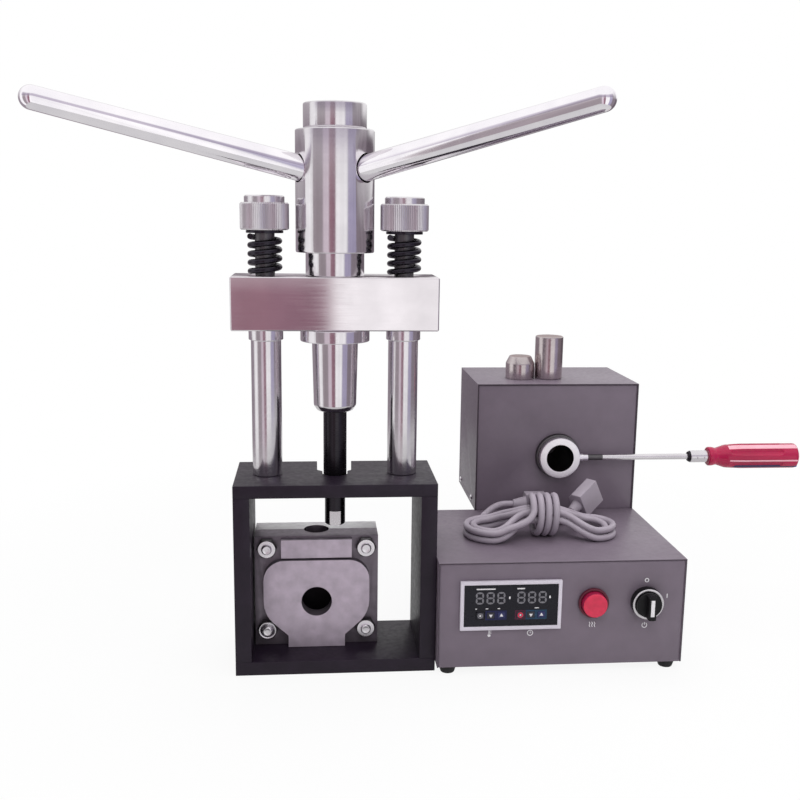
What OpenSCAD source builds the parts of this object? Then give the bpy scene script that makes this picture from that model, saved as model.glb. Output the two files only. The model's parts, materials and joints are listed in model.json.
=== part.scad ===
// Flexible denture injector: a hand screw press with its flask, beside an electric cartridge heater.
// Millimetres. X runs to the right, Y to the back and Z up. The origin is under the ram, on the bench.

/* [Press frame] */
// Width of the black frame
frame_w = 188; // [184:1:230]
// Depth of the black frame
frame_d = 92; // [84:1:120]
// Height of the black frame
frame_h = 184; // [176:1:220]
// Thickness of the base plate
base_t = 13; // [8:0.5:18]
// Thickness of each side post
post_t = 15; // [10:0.5:16]
// Thickness of the top plate
top_t = 12; // [8:0.5:18]
// Width of the slot at the rear of the top plate
slot_w = 34; // [30:1:44]
// Distance from the ram axis to the slot's straight sides
slot_setback = 12; // [10:1:20]

/* [Columns] */
// Distance between the column axes
column_pitch = 128; // [122:1:134]
// Diameter of a column
column_d = 28; // [24:0.5:30]
// Length of a column between the frame and the crosshead
column_len = 139; // [125:0.5:180]
// Diameter of the stop shoulder under the crosshead
shoulder_d = 32; // [31:0.5:36]
// Height of the stop shoulder
shoulder_h = 10.5; // [6:0.5:14]
// Diameter of the stud that the crosshead slides on
stud_d = 18; // [14:0.5:18.5]
// Diameter of the spigot in the top plate
spigot_d = 18; // [12:0.5:20]

/* [Crosshead] */
// Width of the crosshead
crosshead_w = 189; // [180:1:220]
// Depth of the crosshead
crosshead_d = 54; // [50:1:70]
// Height of the crosshead
crosshead_h = 49; // [40:0.5:64]
// Chamfer along the crosshead's edges
crosshead_chamfer = 1; // [0.5:0.1:2]

/* [Springs and knurled nuts] */
// Outside diameter of a spring
spring_od = 32; // [31.5:0.1:34]
// Wire diameter of a spring
spring_wire = 5.4; // [4:0.1:5.6]
// Number of curls in a spring
spring_curls = 4; // [3:0.25:4.25]
// Height of the space that a spring fills
spring_space = 38; // [34:0.5:46]
// Diameter of a spring seat
seat_d = 34; // [30:0.5:38]
// Thickness of a spring seat
seat_t = 2.5; // [1.5:0.1:4]
// Diameter of a knurled nut
nut_d = 44.5; // [38:0.5:46]
// Height of the knurled part of a nut
nut_h = 24.5; // [16:0.5:26]
// Diameter of the plain boss on a nut
nut_boss_d = 36.5; // [30:0.5:38]
// Height of the plain boss on a nut
nut_boss_h = 6.4; // [3:0.1:8]

/* [Screw and ram] */
// Diameter of the neck between the crosshead and the hub
neck_d = 54; // [48:0.5:56]
// Height of the neck above the crosshead
neck_h = 64; // [50:1:66]
// Diameter of the neck's shank in the crosshead
shank_d = 44; // [43.5:0.1:48]
// Diameter of the lock ring under the crosshead
ring_d = 64.5; // [56:0.5:68]
// Height of the lock ring
ring_h = 11.5; // [6:0.5:14]
// Upper diameter of the ram guide
guide_top_d = 43; // [38:0.5:43]
// Lower diameter of the ram guide
guide_bottom_d = 40; // [34:0.5:42]
// Diameter of the ram guide's end face
guide_end_d = 33; // [27:0.5:34]
// Length of the ram guide
guide_len = 66; // [50:1:80]
// Length of the ram guide's end chamfer
guide_chamfer = 5; // [2:0.5:8]
// Diameter of the screw spindle
spindle_d = 30; // [27:0.5:31]
// Diameter of the ram above the frame
ram_d = 22; // [18:0.5:23]
// Diameter of the ram's working end
ram_tip_d = 19.5; // [15:0.5:21]
// Height of the ram's tip above the flask
ram_gap = 10.9; // [9:0.1:20]
// Height of the spanner flat on the ram's working end
flat_h = 14; // [8:0.5:20]
// Depth of the spanner flat
flat_depth = 1.5; // [0.5:0.1:3]
// Diameter of the thrust bearing between spindle and ram
thrust_d = 26; // [24:0.5:26.5]
// Height of the thrust bearing
thrust_h = 8; // [5:0.5:10]

/* [Hub and handles] */
// Diameter of the hub
hub_d = 72; // [68:0.5:76]
// Height of the hub
hub_h = 109; // [104:1:130]
// Gap between the crosshead and the hub
hub_gap = 21; // [18:0.5:30]
// Chamfer at the hub's ends
hub_chamfer = 1.5; // [0.5:0.1:3]
// Diameter of the hub cap
cap_d = 57.5; // [50:0.5:64]
// Height of the hub cap
cap_h = 23; // [15:0.5:30]
// Length of a handle bar from the hub axis
handle_len = 273; // [200:1:300]
// Diameter of a handle bar at the hub
handle_root_d = 23.5; // [20:0.5:27]
// Diameter of a handle bar at its tip
handle_tip_d = 19.5; // [14:0.5:23.5]
// Rise of the handle bars, in degrees
handle_rise = 12; // [5:0.5:15]
// Turn of the left handle bar towards the front, in degrees
handle_turn = 20.7; // [0:0.1:60]
// Height of the handle axes on the hub axis, above the hub's foot
handle_height = 67.5; // [66:0.5:80]
// Distance from the hub axis to a handle socket's floor
socket_floor = 20; // [18:0.5:26]

/* [Flask] */
// Room that the flask leaves between the posts
flask_room = 39; // [36:0.5:45]
// Room that the flask leaves under the top plate
flask_head_room = 49; // [46:0.5:60]
// Gap between the flask and the left post
flask_left_gap = 1.5; // [1:0.1:4]
// Distance from the flask's rear to the frame's rear
flask_rear_gap = 8; // [6:0.5:12]
// Thickness of each flask half
flask_half_t = 22; // [18:0.5:26]
// Height of the front boss and pad
flask_boss_t = 8; // [4:0.5:10]
// Distance from the flask's sides to its bolts
bolt_inset = 12; // [11:0.5:14]
// Distance from the flask's foot to its lower bolts
bolt_foot = 17.5; // [13:0.5:20]
// Distance from the flask's top to its upper bolts
bolt_head = 10.5; // [10:0.5:14]
// Diameter of the flask bolts
bolt_d = 10; // [8:0.5:10]
// Width of the flask nuts across flats
bolt_af = 17; // [15:0.5:17]
// Thickness of the flask nuts and bolt heads
bolt_nut_t = 8; // [5:0.5:9]
// Diameter of the flask's front hole
flask_hole_d = 29; // [20:0.5:34]
// Height of the front hole above the flask's foot
flask_hole_z = 46.5; // [44:0.5:52]
// Diameter of the inlet at the top of the flask
inlet_d = 24; // [16:0.5:26]
// Wall between the mould cavity and the flask's sides
cavity_side = 19.5; // [19:0.5:30]
// Wall under the mould cavity
cavity_foot = 15.5; // [10:0.5:20]
// Wall above the mould cavity
cavity_head = 24.5; // [20:0.5:30]
// Depth of the mould cavity in each half
cavity_t = 15; // [8:0.5:17]

/* [Control box] */
// Width of the control box
control_w = 236.5; // [230:0.5:270]
// Depth of the control box
control_d = 170; // [160:1:200]
// Height of the control box
control_h = 103.5; // [96:0.5:130]
// Place of the control box's front, in front of the ram
control_front = 58; // [40:1:70]
// Height of the rubber feet
foot_h = 8; // [5:0.5:14]
// Diameter of the rubber feet
foot_d = 18; // [14:0.5:22]
// Distance from a casing edge to a foot's middle
foot_inset = 11.5; // [11.5:0.5:24]
// Thickness of the casing sheets
sheet = 1.5; // [1:0.1:2.5]
// Thickness of the front panels
panel_t = 2; // [1.5:0.1:3]
// Setback of the front panels in their covers
panel_setback = 1; // [0.5:0.1:2]

/* [Panel meter] */
// Width of the meter's bezel
meter_w = 96; // [94:0.5:104]
// Height of the meter's bezel
meter_h = 48; // [47:0.5:56]
// Thickness of the meter's bezel
meter_t = 4; // [3:0.5:10]
// Width of the meter's rim
meter_rim = 3.5; // [3:0.1:5]
// Depth of the meter's face behind its rim
meter_face_t = 1.2; // [0.8:0.1:2]
// Width of the meter's case
meter_case_w = 91; // [86:0.5:91.5]
// Height of the meter's case
meter_case_h = 44; // [40:0.5:44.5]
// Depth of the meter's case
meter_case_d = 75; // [60:1:90]
// Distance from the control box's left side to the meter's middle
meter_x = 68.5; // [62:0.5:72]
// Width of a key
key_w = 7; // [5:0.1:8]
// Height of a key
key_h = 6; // [4:0.1:7]
// Thickness of a key
key_t = 3; // [2.5:0.1:3.4]
// Travel of a key
key_travel = 0.5; // [0.3:0.1:0.8]
// Distance between neighbouring keys
key_pitch = 10; // [9.5:0.1:10.5]
// Distance from the meter's middle to a key group's middle
key_group_x = 19; // [18:0.1:20]
// Distance from the meter's middle down to the keys
key_drop = 9.6; // [9:0.1:13]

/* [Lamp and switch] */
// Distance from the control box's left side to the lamp
lamp_x = 147.5; // [145:0.5:160]
// Distance from the control box's left side to the switch
switch_x = 198.5; // [190:0.5:206]
// Height of the lamp, switch and meter above the casing's foot
row_z = 62; // [50:0.5:66]
// Diameter of the panel holes for the lamp and the switch
device_hole_d = 22.3; // [20:0.1:24]
// Diameter of the lamp's bezel
lamp_bezel_d = 29; // [26:0.5:32]
// Diameter of the lamp's lens
lamp_lens_d = 24; // [18:0.5:24]
// Height of the lamp's lens
lamp_lens_t = 8; // [5:0.5:12]
// Diameter of the switch's bezel
switch_bezel_d = 30; // [28:0.5:34]
// Thickness of the lamp's bezel
bezel_t = 3.5; // [2:0.1:6]
// Thickness of the switch's bezel
switch_bezel_t = 8.5; // [5:0.5:10]
// Diameter of the switch knob
knob_d = 24; // [20:0.5:25]
// Thickness of the switch knob's disc
knob_t = 5; // [3:0.5:8]
// Width of the switch knob's grip bar
knob_bar_w = 7; // [5:0.5:9]
// Height of the switch knob's grip bar
knob_bar_t = 9; // [5:0.5:12]
// Diameter of the switch knob's shaft
knob_shaft_d = 8; // [6:0.5:10]

/* [Furnace] */
// Distance from the control box's left side to the furnace
furnace_x = 60; // [55:0.5:60]
// Distance from the control box's front to the furnace
furnace_y = 166; // [150:1:166]
// Width of the furnace
furnace_w = 176; // [160:0.5:176.5]
// Depth of the furnace
furnace_d = 120; // [112:1:140]
// Height of the furnace
furnace_h = 139.5; // [120:0.5:160]
// Distance from the furnace's left side to the barrel axis
barrel_x = 89.5; // [70:0.5:100]
// Height of the barrel axis above the furnace's foot
barrel_z = 60.5; // [50:0.5:70]
// Outside diameter of the heater core
core_d = 60; // [56:0.5:70]
// Length of the heater core behind the front panel
core_len = 92; // [88:1:96]
// Diameter of the heater core's collar
core_collar_d = 48; // [46:0.5:52]
// Height of the heater core's collar in front of the panel
core_collar_t = 5; // [3:0.5:8]
// Inset of the stand under the furnace
stand_inset = 25; // [22:1:40]
// Thickness of the stand's sheet
stand_t = 2; // [1.5:0.1:3]

/* [Injection barrel] */
// Outside diameter of the barrel
barrel_d = 36; // [33:0.5:40]
// Bore of the barrel
barrel_bore = 29.7; // [26:0.1:30]
// Length of the barrel behind its flange
barrel_len = 84; // [70:1:86]
// Diameter of the barrel's flange
flange_d = 44; // [42:0.5:46]
// Thickness of the barrel's flange
flange_t = 8; // [5:0.5:12]
// Thickness of the barrel's floor
barrel_floor = 8; // [5:0.5:12]
// Diameter of the nozzle hole
nozzle_d = 6; // [3:0.5:10]
// Diameter of the ear that holds the shaft
ear_d = 8; // [6.5:0.5:8]
// Reach of the ear past the flange
ear_len = 9; // [6:0.5:14]
// Diameter of the handle's shaft
shaft_d = 6.2; // [5:0.1:7.5]
// Length of the handle's shaft
shaft_len = 111; // [80:1:130]
// Diameter of the ferrule
ferrule_d = 13; // [10:0.5:16]
// Length of the ferrule
ferrule_len = 22; // [15:0.5:35]
// Diameter of the grip at the ferrule
grip_neck_d = 20.5; // [16.5:0.5:22]
// Diameter of the grip's collar and palm end
grip_d = 27; // [24:0.5:30]
// Length of the grip
grip_len = 99; // [80:1:120]
// Number of flutes round the grip
grip_flutes = 6; // [4:1:8]

/* [Loose cylinders] */
// Diameter of the tall cylinder
tall_d = 30.5; // [24:0.5:32]
// Height of the tall cylinder
tall_h = 47; // [30:0.5:60]
// Diameter of the short cylinder
short_d = 31.5; // [24:0.5:32]
// Height of the short cylinder
short_h = 25; // [18:0.5:35]
// Height of the short cylinder's cone
short_cone_h = 8; // [4:0.5:12]
// Distance from the furnace's left side to the tall cylinder
tall_x = 85.5; // [84:0.5:95]
// Distance between the two cylinders
cylinder_pitch = 32; // [32:0.5:40]
// Distance from the furnace's front to the cylinders
cylinder_y = 42; // [30:0.5:60]

/* [Power lead] */
// Diameter of the cord
cord_d = 6.6; // [6:0.1:6.6]
// Gap between neighbouring turns of the cord
cord_gap = 0.5; // [0.45:0.05:0.5]
// Radius of the hank's lobes
lobe_r = 30; // [30:0.5:34]
// Radius where a lobe runs into the waist
waist_r = 14; // [12:0.5:16]
// Half length of the straight waist
waist_half = 16; // [16:0.5:18]
// Radius of the wraps round the waist
wrap_r = 18.5; // [18.2:0.1:19]
// Number of wraps round the waist
wrap_turns = 3; // [2:1:3]
// Distance between the wraps
wrap_pitch = 7.6; // [7.4:0.1:7.6]

/* [Fits] */
// Radial clearance of a sliding or turning fit
run_fit = 0.06; // [0.03:0.01:0.1]
// Radial clearance of a fixed fit
fixed_fit = 0.05; // [0.02:0.01:0.1]
// Gap between faces of pieces that move apart
rest_gap = 0.3; // [0.2:0.05:0.4]
// Gap between the press and the heater
heater_gap = 0.5; // [0.3:0.1:0.8]

/* [Hidden] */
$fn = 64;
over = 1;

// Heights up the press
crosshead_z = frame_h + column_len;
crosshead_top = crosshead_z + crosshead_h;
seat_z = crosshead_top + spring_space;
nut_z = seat_z + seat_t + rest_gap;
nut_boss_z = nut_z + nut_h;
stud_drop = 1.5;
spigot_rise = 0.5;
nut_chamfer = 1;
stud_top = nut_boss_z + nut_boss_h - stud_drop;
ring_z = crosshead_z - ring_h;
guide_z = ring_z - guide_len;
neck_top = crosshead_top + neck_h;
hub_z = crosshead_top + hub_gap;
hub_top = hub_z + hub_h;
hub_down = 8;
crown_gap = 4;
crown_t = 8;
socket_gap = 1;
crown_z = neck_top + hub_down + crown_gap;
spindle_z = ring_z + hub_down + thrust_h + crown_gap - socket_gap;
spindle_top = hub_top - crown_t;
thrust_z = spindle_z - rest_gap - thrust_h;
ram_step_z = frame_h - top_t / 2;
handle_z = hub_z + handle_height;
column_side = column_pitch / 2;
ram_hole_r = ram_d / 2 + 1;

// Flask places
flask_w = frame_w - 2 * post_t - flask_room;
flask_h = frame_h - base_t - top_t - flask_head_room;
flask_z = base_t + rest_gap / 3;
flask_top = flask_z + flask_h;
flask_shift = frame_w / 2 - post_t - flask_left_gap - flask_w / 2;
flask_part_y = frame_d / 2 - flask_rear_gap - flask_half_t;
bolt_end = 3;
bolt_head_t = bolt_nut_t - 1;
flask_front = flask_part_y - flask_half_t;
boss_side = 8.5;
boss_top = 22;
boss_corner_r = 20;
boss_side_r = 30;
boss_tab_side = 32;
boss_tab_w = flask_w - 2 * boss_tab_side;
boss_tab_h = 12;
pad_side = 25.5;
pad_top = 2;
pad_h = 18.5;
pad_t = flask_boss_t - 2;
pad_x = pad_side - flask_shift - flask_w / 2;
ram_tip_z = flask_top + ram_gap;

// Control box places
heater_x0 = frame_w / 2 + heater_gap;
heater_x1 = heater_x0 + control_w;
control_y0 = -control_front;
control_y1 = control_y0 + control_d;
control_top = foot_h + control_h;
panel_y = control_y0 + panel_setback;
row_height = foot_h + row_z;
meter_mid = heater_x0 + meter_x;
meter_front = panel_y - meter_t;
face_y = meter_front + meter_face_t;
key_pocket = 1.4;
key_proud = 0.7;
foot_taper = 5;
seat_depth = 2;
lamp_tail = 38;
lens_dome = 3;
lens_curve = 0.9;
switch_neck = 20;
switch_box = [30, 35, 30];
knob_bore = 22;
knob_shaft_len = 16;
bar_trim = 1;
inlet_x = heater_x0 + 40;
inlet_z = foot_h + 45;
inlet_body = [27, 20];
inlet_flange = [34, 27];
inlet_socket = [24, 16.5];
inlet_depth = 22;
inlet_socket_depth = 16;
inlet_lip = 3;
blade = [2, 4];
blade_len = 12;
blade_places = [[-7, -2], [0, 2], [7, -2]];

// Furnace places
furnace_x0 = heater_x0 + furnace_x;
furnace_x1 = furnace_x0 + furnace_w;
furnace_y0 = control_y0 + furnace_y;
furnace_y1 = furnace_y0 + furnace_d;
furnace_top = control_top + furnace_h;
furnace_panel_y = furnace_y0 + panel_setback;
core_y = furnace_panel_y + panel_t;
side_flange_h = 14;
stand_short = 6;
insulation_rear = 8;
insulation_top = 1;
ear_root = 3;
ferrule_cone = 3;
barrel_axis = [furnace_x0 + barrel_x, 0, control_top + barrel_z];
collar_y = furnace_panel_y - core_collar_t;
flange_y = collar_y - rest_gap - flange_t;
shaft_y = flange_y + flange_t / 2;
shaft_x = barrel_axis.x + flange_d / 2 + ear_len;
ferrule_x = shaft_x + shaft_len;
grip_x = ferrule_x + ferrule_len;
grip_collar = 6;
grip_round = 2;
grip_dip = 1.25;
grip_flare = 34;
flute_r = 6;
flute_depth = 2;
flute_start = 20;
flute_rest = 15;
screw_head_d = 7;
screw_head_t = 2.2;
screw_taper = 2;
screw_d = 3.5;
screw_front = 24;
screw_rear = 18;
screw_rise = 8;
tall_chamfer = 1;

// Power lead: the hank lies on the control box, with its long side along X
cord_r = cord_d / 2;
cord_lay = cord_d + cord_gap;
layer_rise = 1.05 * cord_lay;
hank_x = 113.5;
hank_y = 78;
hank_mid = [heater_x0 + hank_x, control_y0 + hank_y, control_top + rest_gap + cord_r];
hank_turns = 4;
waist_y = hank_turns / 2 * cord_lay;
lobe_x = waist_half + sqrt(2 * waist_r * (lobe_r - waist_y) + lobe_r * lobe_r - waist_y * waist_y);
lobe_end = 180 - atan((waist_y + waist_r) / (lobe_x - waist_half));
lobe_run = lobe_r * lobe_end * PI / 180;
bend_run = waist_r * (lobe_end - 90) * PI / 180;
quarter_run = lobe_run + bend_run + waist_half;
lobe_share = lobe_run / quarter_run;
bend_share = (lobe_run + bend_run) / quarter_run;
hank_start = 0.44;
hank_stop = hank_turns - 0.36;
rings_per_loop = 24;
rings_per_blend = 8;
wrap_mid_z = wrap_r;
waist_lift = wrap_r - layer_rise / 2;
climb_before = 0.2;
climb_span = 0.32;
lift_near = 12;
lift_far = 54;
plug_exit = [-16, 68, 9.5];
connector_exit = [42.5, 44.5, 7.5];
connector_turn = 34;
connector_tilt = 30;
plug_body = [30, 21, 22];
plug_relief = 14;
plug_relief_d = 16;
plug_cut = 4;
pin_side = 9.5;
pin_d = 4.8;
pin_len = 13;
connector_body = [27.5, 18.5, 28];
connector_relief = 10;
connector_relief_d = 13;
connector_cut = 6;
slot = [3, 5, 15];
relief_d = 9;

// Colours
black_paint = "#2a262b";
bright_steel = "#c9c6cc";
satin_steel = "#a9a5ab";
spring_black = "#1d1c1f";
cast_grey = "#8d858f";
dark_grey = "#4a464c";
lilac_paint = "#766b77";
cord_grey = "#a59ca8";
grip_red = "#c0283f";
lens_red = "#d42a40";

// Shared shapes

// A cylinder with both rims chamfered
module chamfered_rod(d, h, chamfer) {
    cylinder(d1 = d - 2 * chamfer, d2 = d, h = chamfer);
    translate([0, 0, chamfer]) cylinder(d = d, h = h - 2 * chamfer);
    translate([0, 0, h - chamfer]) cylinder(d1 = d, d2 = d - 2 * chamfer, h = chamfer);
}

// A rectangle with cut corners
module cut_corner_rectangle(w, h, cut) {
    polygon([[cut - w / 2, -h / 2], [w / 2 - cut, -h / 2], [w / 2, cut - h / 2], [w / 2, h / 2 - cut],
             [w / 2 - cut, h / 2], [cut - w / 2, h / 2], [-w / 2, h / 2 - cut], [-w / 2, cut - h / 2]]);
}

// A cylinder whose axis runs to the back
module rod_to_back(d, h) {
    rotate([-90, 0, 0]) cylinder(d = d, h = h);
}

// A block centred on its front face's middle, running to the back
module back_block(w, h, depth) {
    translate([-w / 2, 0, -h / 2]) cube([w, depth, h]);
}

// A cylinder whose axis runs to the right
module rod_to_right(d, h) {
    rotate([0, 90, 0]) cylinder(d = d, h = h);
}

// A closed tube of straight facets through rings of points
module faceted_tube(rings) {
    sides = len(rings[0]);
    last = len(rings) - 1;
    points = [for (ring = rings, p = ring) p];
    walls = [for (i = [0 : last - 1], j = [0 : sides - 1], half = [0, 1])
             let (a = i * sides + j, b = i * sides + (j + 1) % sides)
             half == 0 ? [a, b, b + sides] : [a, b + sides, a + sides]];
    foot = [for (j = [1 : sides - 2]) [0, j + 1, j]];
    head = [for (j = [1 : sides - 2]) [last * sides, last * sides + j, last * sides + j + 1]];
    polyhedron(points = points, faces = concat(walls, foot, head));
}

function unit(v) = v / norm(v);
function flatten_to(v, t) = unit(v - t * (v * t));

// Tangent at each point of a route
function tangents(route) = let (last = len(route) - 1)
    [for (i = [0 : last]) unit(route[min(i + 1, last)] - route[max(i - 1, 0)])];

// Rings of six corners round a route, without twist
function tube_rings(route, r, side) = let (t = tangents(route), last = len(route) - 1)
    [for (i = 0, n = flatten_to(side, t[0]); i <= last;
          i = i + 1, n = i <= last ? flatten_to(n, t[i]) : n)
     let (b = cross(t[i], n))
     [for (k = [0 : 5]) route[i] + r * (cos(60 * k) * n + sin(60 * k) * b)]];

// Least distance between points of a route that lie apart along it
function least_gap(route, apart) = let (last = len(route) - 1)
    min([for (i = [0 : last - apart], j = [i + apart : last]) norm(route[i] - route[j])]);

// Press

module frame_base_plate() {
    color(black_paint) translate([-frame_w / 2, -frame_d / 2, 0]) cube([frame_w, frame_d, base_t]);
}

module frame_post(left_x) {
    color(black_paint) translate([left_x, -frame_d / 2, base_t])
        cube([post_t, frame_d, frame_h - top_t - base_t]);
}

module frame_left_post() {
    frame_post(-frame_w / 2);
}

module frame_right_post() {
    frame_post(frame_w / 2 - post_t);
}

// The top plate's slot lets the ram in from the rear and narrows to a round hole at the ram
module frame_top_plate() {
    narrowing = slot_w / 2 - ram_hole_r;
    rear = frame_d / 2 + over;
    color(black_paint) translate([0, 0, frame_h - top_t]) difference() {
        translate([-frame_w / 2, -frame_d / 2, 0]) cube([frame_w, frame_d, top_t]);
        translate([0, 0, -over]) cylinder(r = ram_hole_r, h = top_t + 2 * over);
        translate([0, 0, -over]) linear_extrude(top_t + 2 * over)
            polygon([[-ram_hole_r, 0], [ram_hole_r, 0], [ram_hole_r, slot_setback - narrowing],
                     [slot_w / 2, slot_setback], [slot_w / 2, rear], [-slot_w / 2, rear],
                     [-slot_w / 2, slot_setback], [-ram_hole_r, slot_setback - narrowing]]);
        for (side = [-1, 1]) translate([side * column_side, 0, -over])
            cylinder(d = spigot_d + 2 * fixed_fit, h = top_t + 2 * over);
    }
}

// Column with its spigot, stop shoulder and upper stud in one turned bar
module column(x) {
    color(bright_steel) translate([x, 0, 0]) {
        translate([0, 0, frame_h - top_t + spigot_rise]) cylinder(d = spigot_d, h = top_t);
        translate([0, 0, frame_h]) cylinder(d = column_d, h = column_len);
        translate([0, 0, crosshead_z - shoulder_h]) cylinder(d = shoulder_d, h = shoulder_h);
        translate([0, 0, crosshead_z]) cylinder(d = stud_d, h = stud_top - crosshead_z);
    }
}

module left_column() {
    column(-column_side);
}

module right_column() {
    column(column_side);
}

module crosshead() {
    c = crosshead_chamfer;
    color(bright_steel) translate([0, 0, crosshead_z]) difference() {
        intersection() {
            linear_extrude(crosshead_h) cut_corner_rectangle(crosshead_w, crosshead_d, c);
            translate([0, crosshead_d / 2, crosshead_h / 2]) rotate([90, 0, 0])
                linear_extrude(crosshead_d) cut_corner_rectangle(crosshead_w, crosshead_h, c);
            translate([-crosshead_w / 2, 0, crosshead_h / 2]) rotate([90, 0, 90])
                linear_extrude(crosshead_w) cut_corner_rectangle(crosshead_d, crosshead_h, c);
        }
        translate([0, 0, -over]) cylinder(d = shank_d + 2 * fixed_fit, h = crosshead_h + 2 * over);
        for (side = [-1, 1]) translate([side * column_side, 0, -over])
            cylinder(d = stud_d + 2 * run_fit, h = crosshead_h + 2 * over);
    }
}

// Spring: a right-handed helix of round wire, eight rings to a curl
spring_r = (spring_od - spring_wire) / 2;
spring_rise = spring_space - spring_wire - 2 * rest_gap;
spring_rings = ceil(spring_curls * 8);
spring_route = [for (i = [0 : spring_rings]) let (share = i / spring_rings, a = 360 * spring_curls * share)
                [spring_r * cos(a), spring_r * sin(a),
                 crosshead_top + rest_gap + spring_wire / 2 + spring_rise * share]];
echo(spring_self_gap = least_gap(spring_route, 5) - spring_wire);

module spring(x) {
    color(spring_black) translate([x, 0, 0])
        faceted_tube(tube_rings(spring_route, spring_wire / 2, [1, 0, 0]));
}

module left_spring() {
    spring(-column_side);
}

module right_spring() {
    spring(column_side);
}

module spring_seat(x) {
    color(spring_black) translate([x, 0, seat_z]) difference() {
        cylinder(d = seat_d, h = seat_t);
        translate([0, 0, -over]) cylinder(d = stud_d + 2 * run_fit, h = seat_t + 2 * over);
    }
}

module left_spring_seat() {
    spring_seat(-column_side);
}

module right_spring_seat() {
    spring_seat(column_side);
}

module knurled_nut(x) {
    color(satin_steel) translate([x, 0, nut_z]) difference() {
        union() {
            chamfered_rod(nut_d, nut_h, nut_chamfer);
            cylinder(d = nut_boss_d, h = nut_h + nut_boss_h);
        }
        translate([0, 0, -over])
            cylinder(d = stud_d + 2 * run_fit, h = nut_h + nut_boss_h + 2 * over);
    }
}

module left_knurled_nut() {
    knurled_nut(-column_side);
}

module right_knurled_nut() {
    knurled_nut(column_side);
}

// Screw nut: the neck above the crosshead and the shank through it
module screw_nut() {
    color(bright_steel) difference() {
        union() {
            translate([0, 0, ring_z]) cylinder(d = shank_d, h = crosshead_top - ring_z);
            translate([0, 0, crosshead_top]) cylinder(d = neck_d, h = neck_h);
        }
        translate([0, 0, ring_z - over])
            cylinder(d = spindle_d + 2 * run_fit, h = neck_top - ring_z + 2 * over);
    }
}

module lock_ring() {
    color(satin_steel) translate([0, 0, ring_z]) difference() {
        chamfered_rod(ring_d, ring_h, 1);
        translate([0, 0, -over]) cylinder(d = shank_d + 2 * fixed_fit, h = ring_h + 2 * over);
    }
}

module ram_guide() {
    color(bright_steel) difference() {
        union() {
            translate([0, 0, guide_z]) cylinder(d1 = guide_end_d, d2 = guide_bottom_d, h = guide_chamfer);
            translate([0, 0, guide_z + guide_chamfer])
                cylinder(d1 = guide_bottom_d, d2 = guide_top_d, h = guide_len - guide_chamfer);
        }
        translate([0, 0, guide_z - over]) cylinder(d = ram_d + 2 * run_fit, h = guide_len + 2 * over);
    }
}

module screw_spindle() {
    color(bright_steel) translate([0, 0, spindle_z]) cylinder(d = spindle_d, h = spindle_top - spindle_z);
}

module thrust_bearing() {
    color(satin_steel) translate([0, 0, thrust_z]) chamfered_rod(thrust_d, thrust_h, 1);
}

module ram_rod() {
    color(dark_grey) difference() {
        union() {
            translate([0, 0, ram_tip_z]) cylinder(d = ram_tip_d, h = ram_step_z - ram_tip_z);
            translate([0, 0, ram_step_z]) cylinder(d = ram_d, h = thrust_z - ram_step_z);
        }
        translate([-ram_d / 2, -ram_tip_d / 2 - over, ram_tip_z - over])
            cube([ram_d, flat_depth + over, flat_h + over]);
    }
}

// Places its children along a handle bar's axis, with Z running out of the hub
module along_handle(azimuth) {
    translate([0, 0, handle_z]) rotate([0, 0, azimuth]) rotate([0, 90 - handle_rise, 0]) children();
}

handle_azimuths = [180 + handle_turn, 300 + handle_turn, 60 + handle_turn];

module hub() {
    color(bright_steel) difference() {
        translate([0, 0, hub_z]) chamfered_rod(hub_d, hub_h, hub_chamfer);
        translate([0, 0, hub_z - over]) cylinder(d = neck_d + 2 * rest_gap, h = crown_z - hub_z + over);
        translate([0, 0, hub_z]) cylinder(d = spindle_d + 2 * fixed_fit, h = spindle_top - hub_z);
        for (azimuth = handle_azimuths) along_handle(azimuth)
            translate([0, 0, socket_floor]) cylinder(d = handle_root_d + 2 * socket_gap, h = hub_d);
    }
}

module hub_cap() {
    color(bright_steel) translate([0, 0, hub_top]) chamfered_rod(cap_d, cap_h, hub_chamfer);
}

module handle_bar(azimuth) {
    color(bright_steel) along_handle(azimuth) {
        translate([0, 0, socket_floor])
            cylinder(d1 = handle_root_d, d2 = handle_tip_d, h = handle_len - socket_floor - handle_tip_d / 2);
        translate([0, 0, handle_len - handle_tip_d / 2]) sphere(d = handle_tip_d);
    }
}

module left_handle() {
    handle_bar(handle_azimuths[0]);
}

module right_handle() {
    handle_bar(handle_azimuths[1]);
}

module rear_handle() {
    handle_bar(handle_azimuths[2]);
}

// Flask

// Places its children at the four bolts, with the flask's parting plane at Y 0
module at_flask_bolts() {
    for (side = [-1, 1], z = [flask_z + bolt_foot, flask_top - bolt_head])
        translate([side * (flask_w / 2 - bolt_inset) - flask_shift, flask_part_y, z]) children();
}

// Holes that both halves share: cavity, inlet and bolt holes
module flask_hollows() {
    cavity = [flask_w - 2 * cavity_side, 2 * cavity_t, flask_h - cavity_foot - cavity_head];
    translate([-flask_shift - cavity.x / 2, flask_part_y - cavity_t, flask_z + cavity_foot]) cube(cavity);
    translate([-flask_shift, flask_part_y, flask_z + flask_hole_z]) cylinder(d = inlet_d, h = flask_h);
    at_flask_bolts() translate([0, -flask_half_t - flask_boss_t - over, 0])
        rod_to_back(bolt_d + 2 * rest_gap, 2 * (flask_half_t + flask_boss_t + over));
}

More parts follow.
